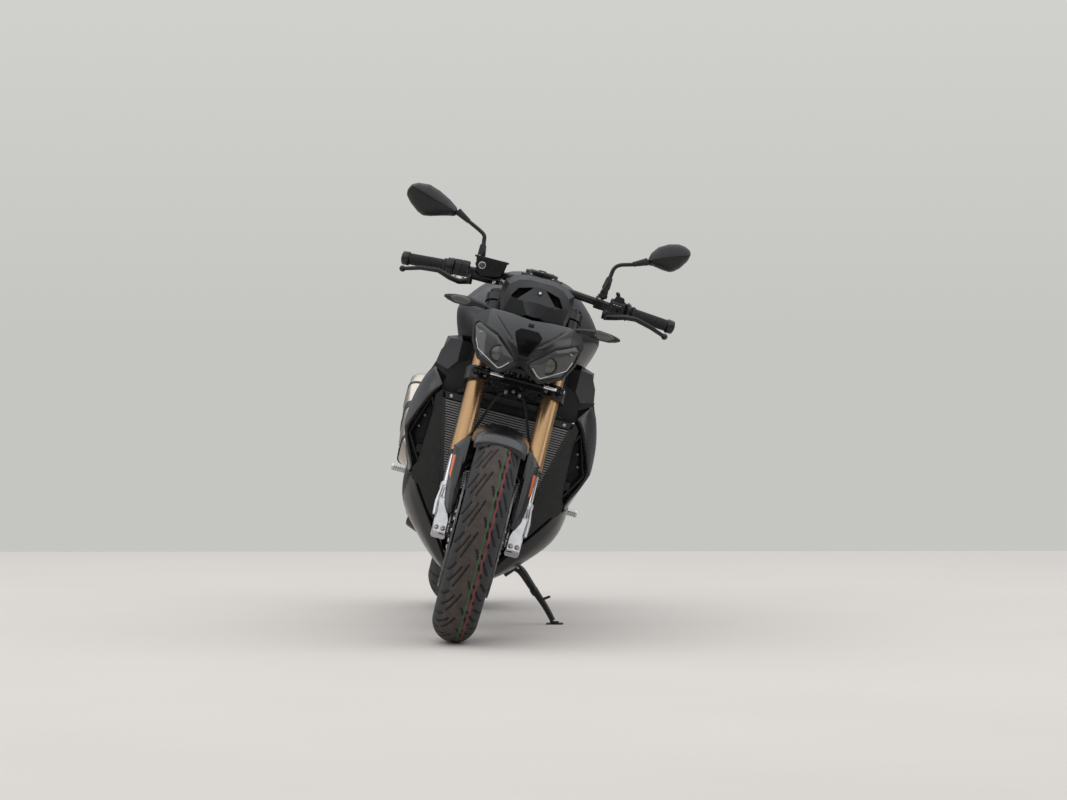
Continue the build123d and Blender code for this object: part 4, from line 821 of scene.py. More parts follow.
# ---- Fork legs ----
LEG_X = 105
DISC_X = 68
REAR_DISC_X = -105
CALIPER_TURN = math.radians(22)
legs = Piece("silver")
legs.use("silver").lathe(
    [(38, 15), (42, 22), (60, 25), (110, 25), (112, 26.5), (124, 26.5), (126, 25), (126, 22)],
    fork(LEG_X, 0, 0), FORK_Z, 40,
)
foot = [(-21, -33), (17, -33), (19, -12), (18, 8), (17, 30), (21, 75), (-10, 75), (-14, 30), (-21, 8)]
rings = []
for wide, behind, tall, up in ((0.86, -32, 0.9, 0.5), (1, -27, 1, 0), (1, 0, 1, 0), (0.8, 26, 0.8, 0)):
    rings.append([fork(LEG_X + a * wide, behind, u * tall + up) for a, u in foot])
legs.rings(rings, True, BOTH)
rib = [(20, -26, 108), (24, -22, 60), (23, -24, 20)]
legs.tube([fork(LEG_X + out, behind, up) for out, behind, up in rib], [3.5, 5.5, 4.5], 10, 4)
legs.lathe([(84, 29), (86, 31), (120, 31), (124, 28), (124, 16), (118, 15.5)], FRONT_HUB, X, 40)
legs.use("steel").lathe([(112, 14.5), (121, 14.5), (123, 13), (123, 9.4), (100, 9.4)], FRONT_HUB, X, 24)
web = [(26, 20), (92, -46), (106, -46), (106, 50), (118, 58), (128, 40), (96, 12)]
turned = [FRONT_HUB + spun(CALIPER_TURN) * a + spun(CALIPER_TURN + math.pi / 2) * b for a, b in web]
legs.use("silver").prism([(p.y, p.z) for p in turned], 13, (80, 0, 0), Y, Z, X)
for dx in (-9, 9):
    legs.use("silver").lathe([(-2, 7.5), (1.2, 7.5), (1.6, 6.6)], fork(LEG_X + dx, -32, -18), -FORK_Y, 24)
    legs.use("steel").bolt(fork(LEG_X + dx, -32, -18), -FORK_Y, 5.6, 4.5)
legs.use("black").tube([fork(LEG_X - 22, -26, -33), fork(LEG_X - 2, -29, -34)], 1.2, 6, 1)
legs.mirror().done("fork_castings", "steering", "silver", ["fork_bottoms"], bevel=1.6, sharp=30)

tube_dress = Piece("black")
for finish, sides, profile in (
    ("black", 40, [(212, 22), (212, 27.5), (217, 28), (222, 27), (222, 26.2)]),
    ("black", 40, [(714, 27), (723, 27), (725, 25), (725, 15)]),
    ("silver", 6, [(723, 15), (729, 13.5), (730, 11), (727, 10), (727, 0.01)]),
    ("black", 40, [(684, 26.2), (684, 27), (716, 27), (717, 24)]),
    ("black", 40, [(545, 26.2), (545, 29), (560, 30), (684, 30), (686, 28), (686, 26.2)]),
    ("black", 40, [(440, 26.2), (438, 37), (442, 38), (476, 38), (478, 36), (478, 26.2)]),
):
    tube_dress.use(finish).lathe(profile, fork(LEG_X, 0, 0), FORK_Z, sides)
for up in (452, 467):
    tube_dress.use("steel").bolt(fork(LEG_X - 18, -34, up), -FORK_Y, 4.5, 3.5)
tube_dress.mirror().done("fork_seals_and_caps", "steering", "black_frame", bevel=0.6)

# ---- Radiator, its walls, the shrouds and the belly pan ----
core = Piece("fins")


def on_core(x, z, out=0.0):
    """A point on the radiator's face, a little ahead of it."""
    return Vector((x, -400 - 70 * (z - 368) / 287 - out, z))


def core_half(z):
    """Half of the radiator's width at a height."""
    return 124 + 66 * (z - 368) / 287


for k in range(36):
    z = 388 + 249 * k / 36
    bar = [(z, -3), (z + 0.5, 3), (z + 3.6, 3), (z + 4.2, -3)]
    half = core_half(z) - 6
    core.use("fins").rings(
        [[on_core(x, up, out) for up, out in bar] for x in np.linspace(-half, half, 13)], False,
    )
for low, high, (a, b), (c, d) in (
    (368, 386, (-1, 0), (1, 0)), (638, 656, (-1, 0), (1, 0)), (370, 655, (1, -8), (1, 1)),
    (370, 655, (-1, 8), (-1, -1)),
):
    rings = []
    for z in (low, high):
        left, right = a * core_half(z) + b, c * core_half(z) + d
        rings.append([on_core(x, z, out) for x, out in ((left, 4), (right, 4), (right, -28), (left, -28))])
    core.use("black").rings(rings, True, BOTH)
# Painted shade: a matte black sheet behind the fin bars fills the gaps between them with black.
core.use("matte_black_and_shade").rings(
    [[on_core(-core_half(z), z, -26), on_core(core_half(z), z, -26)] for z in (370, 655)], False,
)
core.use("black").prism(
    twin([(168, -8), (150, 12), (88, 24)]), 4, on_core(0, 655, -28), X, Vector((0, -0.12, 0.99)), -Y,
)
for x in (-163, 162):
    core.use("silver").bolt(on_core(x, 647, 4), -Y, 5, 4)
core.use("black").tube([(-150, -440, 655), (-120, -430, 668), (-60, -415, 672), (0, -412, 668)], 13, 16, 6)
core.done("radiator_core", "chassis", "black_frame", ["radiator"], bevel=0.0, sharp=20)

walls = Piece("black")
WALL = [
    (191, -440, 660), (207, -440, 640), (203, -432, 568), (209, -416, 447), (219, -404, 424),
    (214, -398, 394), (190, -402, 381), (150, -400, 322), (116, -396, 285), (112, -396, 328),
    (128, -400, 376), (160, -430, 520),
]
pts = [Vector((x, y, z)) for x, y, z in WALL]
walls.use("black").rings([pts, [p + Y * 5 for p in pts]], True, BOTH)
gill = [(203, -434, 600), (216, -438, 626), (250, -426, 520), (210, -416, 452)]
deep = [(206, -404, 594), (214, -404, 612), (238, -396, 520), (212, -392, 466)]
# Painted shade: the gill's opening is closed by a recess of matte black.
walls.use("matte_black_and_shade").rings([[Vector((x, y, z)) for x, y, z in line] for line in (gill, deep)], True, LAST)
walls.use("plastic").rings(
    [
        [Vector(((222 + (x - 222) * s), y + d, 540 + (z - 540) * s)) for x, y, z in gill]
        for s, d in ((1.12, 0), (1.12, -4), (1.0, -4), (1.0, 3))
    ],
    True,
)
for x, z in ((222, 575), (231, 541)):
    walls.use("steel").bolt((x, -404, z), -Y + X * -0.2, 4.5, 5)
walls.use("black").box((214 - 9, -412, 468), (214 + 9, -396, 492))
walls.mirror().done("radiator_side_walls", "chassis", "black_plastic", bevel=1.2, sharp=30)


def shell(piece, lines, inwards, along, across):
    """A panel through the lines with a black inner face; along and across crease it at a point or a line."""
    inner = [[Vector(p) + Vector(inwards) for p in line] for line in lines]
    outer_rows = piece.use("panel").rings(lines, False, creases=along)
    inner_rows = piece.use("black").rings(inner, False)
    last = len(lines[0]) - 1
    for k in range(last):
        for a, b in ((outer_rows[0], inner_rows[0]), (outer_rows[-1], inner_rows[-1])):
            piece.face([a[k], a[k + 1], b[k + 1], b[k]])
    for k in range(len(lines) - 1):
        for place in (0, -1):
            piece.face([
                outer_rows[k][place], outer_rows[k + 1][place], inner_rows[k + 1][place],
                inner_rows[k][place],
            ])
    for line, value in across.items():
        for a, b in zip(outer_rows[line], outer_rows[line][1:]):
            piece.bm.edges.get((a, b))[piece.crease] = value


shrouds = Piece("panel")
SHROUD = [
    # from the leading edge back: (x, y, z) down each line
    [
        (193, -446, 668), (214, -447, 642), (250, -446, 560), (262, -440, 529), (246, -424, 486),
        (220, -404, 436),
    ],
    [
        (196, -448, 673), (222, -450, 645), (258, -448, 562), (269, -440, 528), (252, -422, 480),
        (222, -400, 426),
    ],
    [
        (214, -425, 698), (238, -415, 662), (267, -400, 592), (272, -398, 540), (256, -380, 478),
        (226, -372, 410),
    ],
    [
        (230, -392, 722), (250, -370, 690), (273, -330, 620), (274, -320, 560), (256, -310, 476),
        (230, -320, 400),
    ],
    [
        (226, -330, 726), (246, -300, 692), (266, -250, 628), (266, -240, 560), (248, -240, 480),
        (222, -262, 402),
    ],
    [
        (208, -250, 700), (226, -220, 676), (238, -180, 630), (238, -172, 570), (224, -170, 520),
        (204, -220, 440),
    ],
    [
        (194, -200, 664), (200, -180, 650), (204, -155, 622), (204, -150, 570), (198, -152, 524),
        (194, -200, 462),
    ],
]
shell(shrouds, SHROUD, (-5, 3, 0), {1: 0.35, 3: 0.75, 0: 0.9, 5: 0.9}, {1: 0.9})
shrouds.mirror().done("side_shroud_panels", "chassis", "black_satin", ["side_shrouds"], subdivide=2)

pan = Piece("panel")
PAN = [
    [
        (208, -398, 400), (174, -394, 350), (141, -392, 304), (112, -390, 264), (86, -388, 228),
        (62, -386, 190),
    ],
    [
        (214, -400, 403), (180, -397, 350), (146, -395, 302), (116, -393, 261), (89, -391, 225),
        (63, -389, 184),
    ],
    [
        (230, -372, 410), (208, -372, 346), (166, -372, 286), (134, -372, 242), (102, -372, 204),
        (70, -374, 172),
    ],
    [
        (240, -330, 424), (238, -326, 352), (214, -322, 300), (170, -318, 250), (127, -318, 204),
        (70, -322, 160),
    ],
    [
        (240, -250, 430), (237, -240, 352), (214, -232, 296), (166, -228, 248), (124, -226, 202),
        (68, -228, 162),
    ],
    [
        (210, -140, 396), (208, -130, 340), (184, -122, 288), (150, -118, 246), (112, -116, 202),
        (66, -118, 168),
    ],
    [(184, -70, 312), (180, -66, 290), (170, -62, 264), (148, -60, 236), (110, -60, 204), (66, -62, 176)],
]
shell(pan, PAN, (-5, 2, 3), {}, {1: 0.9, 2: 0.55})
pan.mirror()
for a, b in zip(PAN[2:], PAN[3:]):
    keel = [a[-1], b[-1]]
    pan.use("panel").face([pan.bm.verts.new(p) for p in keel + [(-x, y, z) for x, y, z in reversed(keel)]])
pan.done("belly_pan_panels", "chassis", "black_satin", ["belly_pan"], subdivide=2)

# ---- Tank, side panels and the fillers beside the radiator ----
def half_hull(piece, stations, creases):
    """One side of a closed hull: a line of (x, z) at each y, with its two ends closed to the middle."""
    piece.rings([[(x, y, z) for x, z in line] for y, line in stations], False, creases=creases)
    for y, line in (stations[0], stations[-1]):
        piece.rings([[(x, y, z) for x, z in line], [(0, y, z) for x, z in line]], False)


tank = Piece("panel")
TANK = [
    (-326, [(0, 972), (34, 972), (58, 962), (84, 932), (108, 880), (112, 842), (104, 818)]),
    (-318, [(0, 986), (40, 985), (64, 974), (96, 936), (121, 880), (124, 845), (118, 818)]),
    (-262, [(0, 1030), (50, 1028), (88, 1010), (128, 952), (160, 886), (160, 850), (148, 800)]),
    (-190, [(0, 1046), (52, 1044), (96, 1030), (168, 966), (210, 902), (207, 868), (178, 790)]),
    (-140, [(0, 1041), (50, 1039), (94, 1027), (174, 968), (216, 896), (208, 850), (176, 780)]),
    (-60, [(0, 990), (44, 988), (82, 976), (150, 922), (180, 866), (176, 826), (150, 768)]),
    (0, [(0, 900), (38, 900), (66, 892), (104, 862), (124, 826), (126, 800), (108, 762)]),
    (20, [(0, 862), (36, 862), (58, 856), (88, 838), (104, 812), (106, 790), (96, 760)]),
]
half_hull(tank, TANK, {2: 0.45, 4: 0.35})
tank.mirror().done("fuel_tank_shell", "chassis", "black_satin", ["fuel_tank"], subdivide=2, weld=0.05)

cap = Piece("black")
cap_up = Vector((0, -0.02, 1)).normalized()
cap.use("black").lathe([(-6, 47), (1.5, 47), (3.5, 45), (3.5, 40), (2, 39)], (0, -178, 1045), cap_up, 48)
cap.use("panel").lathe(
    [(2, 39), (5, 38), (6.5, 34), (6.5, 22), (5, 20), (5, 0.01)], (0, -178, 1045), cap_up, 48,
)
for k in range(6):
    turn = math.radians(60 * k + 30)
    cap.use("steel").bolt((43 * math.cos(turn), -178 + 43 * math.sin(turn), 1048), cap_up, 2.6, 2)
cap.use("black").prism(oblong(11, 15, 6), 4, (0, -182, 1050), X, Y, Z)
cap.done("fuel_cap", "chassis", "black_frame", bevel=0.6)

flanks = Piece("panel_grey")
FLANK = {
    "a": (140, -392, 802), "b": (172, -404, 806), "c": (205, -392, 803), "d": (224, -384, 764),
    "e": (230, -388, 726), "f": (193, -424, 716), "g": (171, -428, 744), "h": (146, -414, 751),
    "c2": (216, -210, 806), "d2": (222, -200, 760), "e2": (216, -205, 712), "c3": (196, -66, 782),
    "e3": (196, -62, 706), "b2": (178, -190, 818), "b3": (168, -76, 788), "e1": (229, -330, 724),
}
facets(flanks, FLANK, [
    "a b g h", "b c d g", "d e f g", "c c2 d2 d", "d d2 e2 e1 e", "b b2 c2 c", "c2 c3 e3 e2 d2",
    "b2 b3 c3 c2",
])
edge = [FLANK[name] for name in "ahgfe"]
flanks.use("black").rings([edge, [(x, y + 8, z) for x, y, z in edge]], False)
filler = [
    (138, 760), (147, 752), (172, 745), (196, 716), (232, 727), (230, 716), (190, 695), (199, 664),
    (168, 648),
    (128, 655), (112, 690), (118, 740),
]
flanks.use("plastic").prism(filler, 10, (0, -414, 0), X, Z, Y)
outer = [(186, 745), (222, 750), (232, 722), (240, 700), (250, 668), (228, 636), (194, 640)]
flanks.prism(outer, 6, (0, -372, 0), X, Z, Y)
deep = [(118, 800), (140, 802), (150, 752), (150, 700), (118, 700)]
flanks.use("black").prism(deep, 6, (0, -392, 0), X, Z, Y)
flanks.use("silver").bolt((208, -388, 748), Vector((0.4, -0.9, 0)), 3.6, 3)
flanks.mirror()
flanks.done(
    "tank_flank_panels", "chassis", "black_satin", ["tank_side_panels"], bevel=2.2, weld=0.05, sharp=16,
)

# ---- Handlebar, grips and controls ----
TRAIL_BEHIND = 300 * math.sin(RAKE) - 96 * math.cos(RAKE)
BAR_BEHIND = TRAIL_BEHIND - 4
BAR = [
    fork(0, BAR_BEHIND, 792), fork(95, BAR_BEHIND, 792), fork(200, TRAIL_BEHIND + 12, 790),
    fork(262, TRAIL_BEHIND + 22, 791),
]
GRIP = Vector((1, 0.17, -0.075)).normalized()
bar_end = BAR[3] + GRIP * ((397 - 262) / GRIP.x)
grips = Piece("rubber")
length = (bar_end - BAR[3]).length - 10
ribs = []
for k in range(26):
    t = 12 + (length - 34) * k / 26
    ribs += [(t, 15.6), (t + 0.9, 16.6), (t + 2.2, 16.6), (t + 3.0, 15.6)]
start = BAR[3] + GRIP * 6
flange = [(0, 12), (0, 19), (3, 20), (8, 20), (10, 17)]
grips.use("rubber").lathe(flange + ribs + [(length - 20, 16.8), (length - 19, 12)], start, GRIP, 28)
weight = [(-19, 12), (-19, 18), (-17, 20), (-1, 19.2), (2, 17), (2, 6), (0, 0.01)]
grips.use("black").lathe([(length + t, r) for t, r in weight], start, GRIP, 32)
grips.mirror().done("handlebar_grips", "steering", "rubber", ["grips"], bevel=0.5, sharp=50)

bar_dress = Piece("black")
for x in (-42, 42):
    for up, tall in ((770, 10), (804, 8)):
        bar_dress.use("black").prism(oblong(17, 14, 4), tall, fork(x, BAR_BEHIND, up), X, FORK_Y, FORK_Z)
    bar_dress.lathe([(-16, 16), (-16, 17.5), (16, 17.5), (16, 16)], fork(x, BAR_BEHIND, 792), X, 28)
    for dx in (-10, 10):
        for dy in (-9, 9):
            bar_dress.use("steel").bolt(fork(x + dx, BAR_BEHIND + dy, 812), FORK_Z, 4, 3)
bar_dress.use("steel").lathe(
    [(0, 15), (8, 14), (10, 11), (8, 9), (8, 0.01)], fork(0, TRAIL_BEHIND, 720), FORK_Z, 6,
)
for x in (-82.95, 82.95):
    bar_dress.use("steel").bolt(fork(x, -26, 699), -FORK_Y, 4.5, 4)
bar_dress.done("handlebar_clamps", "steering", "black_frame", bevel=0.8)

SPAN = (BAR[3] - BAR[2]).normalized()
INNER = (BAR[2] - BAR[1]).normalized()
switch = Piece("plastic")
for side in (1, -1):
    base = BAR[2].lerp(BAR[3], 0.45)
    base.x *= side
    way = Vector((SPAN.x * side, SPAN.y, SPAN.z))
    fore, rise = -Y, Z
    outline = rounded([(-18, -20), (15, -22), (21, -8), (20, 14), (10, 24), (-14, 25), (-21, 10)], 7, 3)
    steps = [
        (-24, 0.86), (-21, 1.0), (-2, 1.02), (-1.2, 0.97), (0.2, 0.97), (1, 1.02), (19, 1.0), (22, 0.86),
    ]
    switch.use("plastic").rings(
        [[base + way * t + (fore * a + rise * b) * s for a, b in outline] for t, s in steps], True, BOTH,
    )
    for t, b in ((-12, -23), (10, -23)):
        switch.use("black").bolt(base + way * t + rise * b + fore * 4, -rise, 4, 3)
    if side > 0:
        switch.use("plastic").prism(
            rounded([(-17, 0), (17, 0), (12, 14), (-10, 16)], 4), 24, base + rise * 20 - fore * 8, way,
            rise, fore,
        )
        switch.use("black").tube(
            [base + rise * 32 - way * 4, base + rise * 40 - way * 8, base + rise * 42 - way * 14],
            [5, 6, 3.5], 12, 4,
        )
        switch.lathe([(0, 9), (5, 9), (6.5, 7), (6.5, 0.01)], base + fore * 19 + way * 6, fore, 24)
        switch.lathe([(22, 21), (24, 24), (34, 24), (36, 21)], base, way, 32)
        for k in range(14):
            turn = 2 * math.pi * k / 14
            knurl = base + way * 29 + (fore * math.cos(turn) + rise * math.sin(turn)) * 24.5
            switch.box(*[knurl + (X + Y + Z) * d for d in (-1.8, 1.8)])
        for t in (-12, -3, 6):
            switch.use("silver").prism(
                twin([(3, -1), (3, 1)]), 0.8, base + way * t + fore * 20.5 + rise * 9, way, rise, fore,
            )
    else:
        switch.use("plastic").lathe([(18, 20), (20, 24), (38, 24), (41, 21), (41, 16)], base, way, 36)
        switch.use("black").lathe([(23, 24), (24, 25.2), (27, 25.2), (28, 24)], base, way, 36)
        switch.use("red").prism(
            oblong(6, 6, 3), 5, base + rise * 20 - way * 8 - fore * 10, way, -fore, rise,
        )
switch.done("switch_housings", "steering", "black_plastic", ["switchgear"], bevel=0.9, sharp=35)

levers = Piece("black")
base = BAR[1].lerp(BAR[2], 0.72)
levers.use("black").lathe([(-9, 12), (-9, 18), (11, 18), (11, 12)], base, INNER, 32)
levers.prism(
    rounded([(-16, -20), (22, -24), (38, -34), (36, -52), (8, -50), (-12, -38)], 5), 22,
    base + Z * -18 + INNER * 4, INNER, Y, Z,
)
levers.lathe([(-12, 8), (-10, 9), (10, 9), (12, 8), (12, 3), (13, 0.01)], (197, -404, 974), Z, 24)
levers.use("steel").bolt((197, -404, 987), Z, 5.5, 4)
for dz in (-12, 10):
    levers.use("steel").bolt(base + INNER + Vector((0, -19, dz)), -Y, 4, 3.5)
levers.mirror()


def blade(points):
    """A forged lever: flattened along its run, with a ball at its tip."""
    pts = [Vector(p) for p in points]
    turns = [2 * math.pi * k / 14 for k in range(14)]
    rings = []
    for k, (p, (w, h)) in enumerate(
        zip(pts, [(6, 9), (6.5, 8), (5.6, 7.5), (5, 6.8), (4.6, 6.2), (4.2, 5.6)])
    ):
        way = (pts[min(k + 1, len(pts) - 1)] - pts[max(k - 1, 0)]).normalized()
        side_way = way.cross(Z).normalized()
        up_way = side_way.cross(way)
        rings.append([p + side_way * (w * math.cos(a)) + up_way * (h * math.sin(a)) for a in turns])
    levers.use("black").rings(rings, True, BOTH)
    levers.lathe(
        [(-8, 4), (-6, 7), (-2, 9), (2, 9.2), (6, 7), (8.5, 3), (9, 0.01)], pts[-1], pts[-1] - pts[-2],
        24,
    )


blade([
    (-198, -404, 970), (-224, -414, 962), (-252, -424, 966), (-287, -428, 977), (-336, -422, 972),
    (-386, -410, 957),
])
blade([
    (196, -404, 968), (226, -416, 974), (252, -424, 981), (284, -428, 983), (330, -420, 972),
    (374, -410, 957),
])
# The brake's master cylinder and its reservoir, on the right.
levers.use("black").tube([(-190, -408, 990), (-150, -404, 990), (-112, -402, 990)], [13, 13.5, 10], 24, 3)
levers.use("silver").lathe(
    [(-3, 8), (0, 9), (5, 9), (7, 6), (12, 6), (12, 0.01)], (-112, -403, 990), (1, -0.15, 0), 20,
)
levers.bolt((-128, -420, 984), -Y, 5.5, 6)
pot = [(-194, 1044), (-103, 1046), (-108, 1014), (-124, 998), (-172, 991), (-186, 1006)]
pot = rounded(pot, [3, 3, 8, 8, 8, 8])
levers.use("black").rings(
    [
        [(x, y, z) for x, z in scaled(pot, s, (-148, 1020))]
        for y, s in ((-384, 0.9), (-388, 1.0), (-424, 1.0), (-429, 0.93))
    ],
    True, BOTH,
)
levers.use("plastic").prism(
    rounded([(-198, 0), (-100, 0), (-100, 5), (-198, 5)], 1.5), 44, (0, -384, 1042), X, Z, -Y,
)
levers.use("silver").lathe([(0, 10.5), (3, 10.2), (3.4, 8.2), (2, 8)], (-172, -428.5, 1022), -Y, 28)
levers.use("lens").lathe([(1.5, 8), (2.6, 6), (3, 0.01)], (-172, -428.5, 1022), -Y, 28)
for x in (-186, -112):
    levers.use("steel").bolt((x, -406, 1047), Z, 3.4, 2)
levers.use("black").tube([(-168, -402, 1000), (-168, -402, 990)], 8, 16, 1)
levers.done("brake_and_clutch_levers", "steering", "black_frame", ["hand_levers"], bevel=0.9, sharp=34)

# ---- Mirrors ----
mirror_piece = Piece("plastic")
HEADS = [
    (
        [
            (-275, 1150), (-283, 1164), (-306, 1180), (-340, 1197), (-372, 1207), (-405, 1204),
            (-422, 1195), (-430, 1177), (-428, 1162), (-413, 1145), (-387, 1125), (-370, 1118),
            (-350, 1121), (-323, 1129), (-300, 1135), (-282, 1138),
        ],
        (-284, 1151), (-419, 1190),
    ),
    (
        [
            (277, 1151), (283, 1178), (299, 1199), (325, 1214), (352, 1221), (372, 1219), (386, 1212),
            (392, 1202), (388, 1182), (371, 1156), (356, 1143), (345, 1138), (323, 1139), (298, 1143),
            (282, 1142),
        ],
        (290, 1160), (388, 1196),
    ),
]
for outline, ra, rb in HEADS:
    ra, ridge = Vector(ra), Vector(rb) - Vector(ra)
    smooth = [Vector(p) for p in rounded(outline, 14, 3)]
    middles = [ra + ridge * max(0, min(1, (p - ra).dot(ridge) / ridge.length_squared)) for p in smooth]
    rings = []
    for s, y in (
        (0.93, -317), (1.0, -318), (1.01, -323), (0.985, -330), (0.88, -338), (0.66, -346), (0.36, -353),
        (0.12, -357), (0.03, -358),
    ):
        ring = []
        for p, q in zip(smooth, middles):
            x, z = q.lerp(p, s)
            ring.append((x, y + (0 if s > 0.9 else 3.0 * ease(1 - (p - q).length / 26)), z))
        rings.append(ring)
    mirror_piece.use("plastic").rings(rings, True, LAST)
    glass = [q.lerp(p, 0.93) for p, q in zip(smooth, middles)]
    mirror_piece.use("mirror").face([mirror_piece.bm.verts.new((x, -317.5, z)) for x, z in glass])
root = BAR[1].lerp(BAR[2], 0.72) + INNER * 8
for run in (
    [
        (-root.x, root.y, root.z + 17), (-178, -366, 1052), (-184, -357, 1088), (-188, -354, 1106),
        (-206, -350, 1118), (-240, -345, 1134), (-276, -338, 1153),
    ],
    [
        (root.x, root.y, root.z + 17), (180, -368, 1045), (186, -358, 1082), (191, -354, 1108),
        (206, -351, 1122), (240, -345, 1133), (280, -338, 1152),
    ],
):
    mirror_piece.use("black").tube(run, [6.5, 6.5, 6, 5.6, 5.6, 5.6, 5.6], 18, 8)
    boot = [(-2, 8), (0, 12), (18, 11), (22, 9.5), (24, 9.5), (30, 11.5), (58, 9), (62, 6)]
    mirror_piece.use("rubber").lathe(boot, run[0], Vector(run[2]) - Vector(run[0]), 24)
    folds = []
    for k in range(6):
        folds += [(4 + k * 5.6, 6.8 + k * 0.5), (6.6 + k * 5.6, 7.7 + k * 0.55)]
    folds = [(0, 5.6), (1, 8)] + folds + [(40, 10.6), (42, 10.6), (43, 8)]
    mirror_piece.use("rubber").lathe(folds, run[-2], Vector(run[-1]) - Vector(run[-2]), 24)
    mirror_piece.use("black").lathe([(0, 9), (0, 14), (8, 14), (8, 9)], run[0], Z, 6)
mirror_piece.done("rear_view_mirrors", "steering", "black_plastic", ["mirrors"], bevel=0, sharp=42)

# ---- Front indicators ----
def pod(piece, sections, top=1.0):
    """A closed pod of ovals (x, y, z, half depth, half height); top flattens their upper halves."""
    rings = []
    for x, y, z, deep, tall in sections:
        turns = [2 * math.pi * k / 20 for k in range(20)]
        ups = [math.sin(a) * (top if math.sin(a) > 0 else 1) for a in turns]
        rings.append([(x, y + deep * math.cos(a), z + tall * up) for a, up in zip(turns, ups)])
    piece.use("plastic").rings(rings, True, BOTH)


winkers = Piece("plastic")
pod(winkers, [
    (112, -566, 905, 7, 6), (130, -560, 911, 8, 7.5), (150, -552, 914, 10, 9), (162, -546, 915, 9, 9),
    (172, -542, 915, 12, 13), (192, -530, 915, 15, 15.5), (222, -514, 914, 14, 14), (242, -505, 914, 9, 9),
    (253, -500, 914, 4, 3.5),
], 0.8)
panel = rounded([(167, 0), (187, 12.5), (220, 12), (245, 2), (220, -10.5), (187, -12.5)], 8, 3)
face = []
for grow, out in ((0.86, 15), (0.83, 16.9), (0.7, 18.1), (0.35, 18.8)):
    face.append([(x, -520 + 0.52 * (x - 206) - out, 914 + z) for x, z in scaled(panel, grow, (206, 0))])
winkers.use("smoke").rings(face, True, LAST)
winkers.mirror().done("front_winkers", "steering", "light", ["front_indicators"], sharp=45)

# ---- Steering damper ----
damper = Piece("black")
behind = -43
DAMPER_UP = 459
for near, far, radius, finish in (
    (-75, 138, 4.5, "chrome"), (-36, 74, 8.4, "black"), (-38, -30, 10, "black"), (68, 78, 10, "black"),
    (-128, -76, 6.5, "black"), (-124, -100, 10, "black"), (116, 136, 9.5, "black"),
):
    damper.use(finish).lathe(
        [
            (0, radius * 0.8), (1.2, radius), (far - near - 1.2, radius), (far - near, radius * 0.8),
            (far - near, 0.01),
        ],
        fork(near, behind, DAMPER_UP), X, 24,
    )
for x in (-112, 126):
    damper.use("black").lathe(
        [(-9, 6), (-9, 9), (9, 9), (9, 6), (9, 0.01)], fork(x, behind, DAMPER_UP), FORK_Z, 24,
    )
    damper.use("silver").bolt(fork(x, behind, DAMPER_UP + 9), FORK_Z, 5, 4)
damper.use("black").tube([fork(126, behind, DAMPER_UP), fork(126, behind + 14, DAMPER_UP)], 7, 14, 1)
damper.done("steering_damper_unit", "steering", "steel", ["steering_damper"], bevel=0.5)

# ---- Seats ----
def bake(obj):
    """Leaves the result of the modifiers on the object's own mesh."""
    mesh = bpy.data.meshes.new_from_object(obj.evaluated_get(bpy.context.evaluated_depsgraph_get()))
    obj.modifiers.clear()
    obj.data = mesh
    return mesh


def swell(obj, floor, cap):
    """Swells a pad with a cloth simulation; what lies below floor (upright mm) stays on the seat pan."""
    bpy.context.view_layer.update()
    bake(obj)
    remesh = obj.modifiers.new("voxels", "REMESH")
    remesh.mode = "VOXEL"
    remesh.voxel_size = 0.0055
    mesh = bake(obj)
    back = UPRIGHT.inverted()
    start = np.array([v.co[:] for v in mesh.vertices])
    held = obj.vertex_groups.new(name="held")
    held.add([v.index for v in mesh.vertices if (back @ v.co).z < floor(back @ v.co)], 1.0, "REPLACE")
    cloth = obj.modifiers.new("cloth", "CLOTH")
    cloth.settings.quality = 4
    cloth.settings.mass = 0.3
    cloth.settings.use_pressure = True
    cloth.settings.uniform_pressure_force = 4
    cloth.settings.vertex_group_mass = "held"
    cloth.settings.effector_weights.gravity = 0
    for step in range(1, 21):
        bpy.context.scene.frame_set(step)
    mesh = bake(obj)
    bpy.context.scene.frame_set(1)
    end = np.array([v.co[:] for v in mesh.vertices])
    move = end - start
    size = np.linalg.norm(move, axis=1, keepdims=True)
    move *= np.minimum(1, cap / np.maximum(size, 1e-9))
    for vert, place in zip(mesh.vertices, start + move):
        vert.co = place
    for poly in mesh.polygons:
        poly.use_smooth = True
    if not mesh.materials:
        mesh.materials.append(MATS["seat"])
    mod = obj.modifiers.new("smooth", "SUBSURF")
    mod.levels = mod.render_levels = 1


def seat_rings(sections, inward):
    """Closed rings from a pad's right halves, drawn in a little to leave room for the swelling."""
    rings = []
    for y, half in sections:
        low, high = min(z for x, z in half), max(z for x, z in half)
        middle = (low + high) / 2
        line = [(max(0, x - inward), z + (inward if z < middle else -inward)) for x, z in half]
        rings.append(
            [Vector((x, y, z)) for x, z in line] + [Vector((-x, y, z)) for x, z in reversed(line[1:-1])]
        )
    return rings


def laid(points, pad):
    """The points of a line, spread closer and laid on a pad's surface."""
    spread = [a.lerp(b, k / 5) for a, b in zip(points, points[1:]) for k in range(5)] + [points[-1]]
    surface = BVHTree.FromObject(pad, bpy.context.evaluated_depsgraph_get())
    return [UPRIGHT.inverted() @ surface.find_nearest(UPRIGHT @ p)[0] for p in spread]


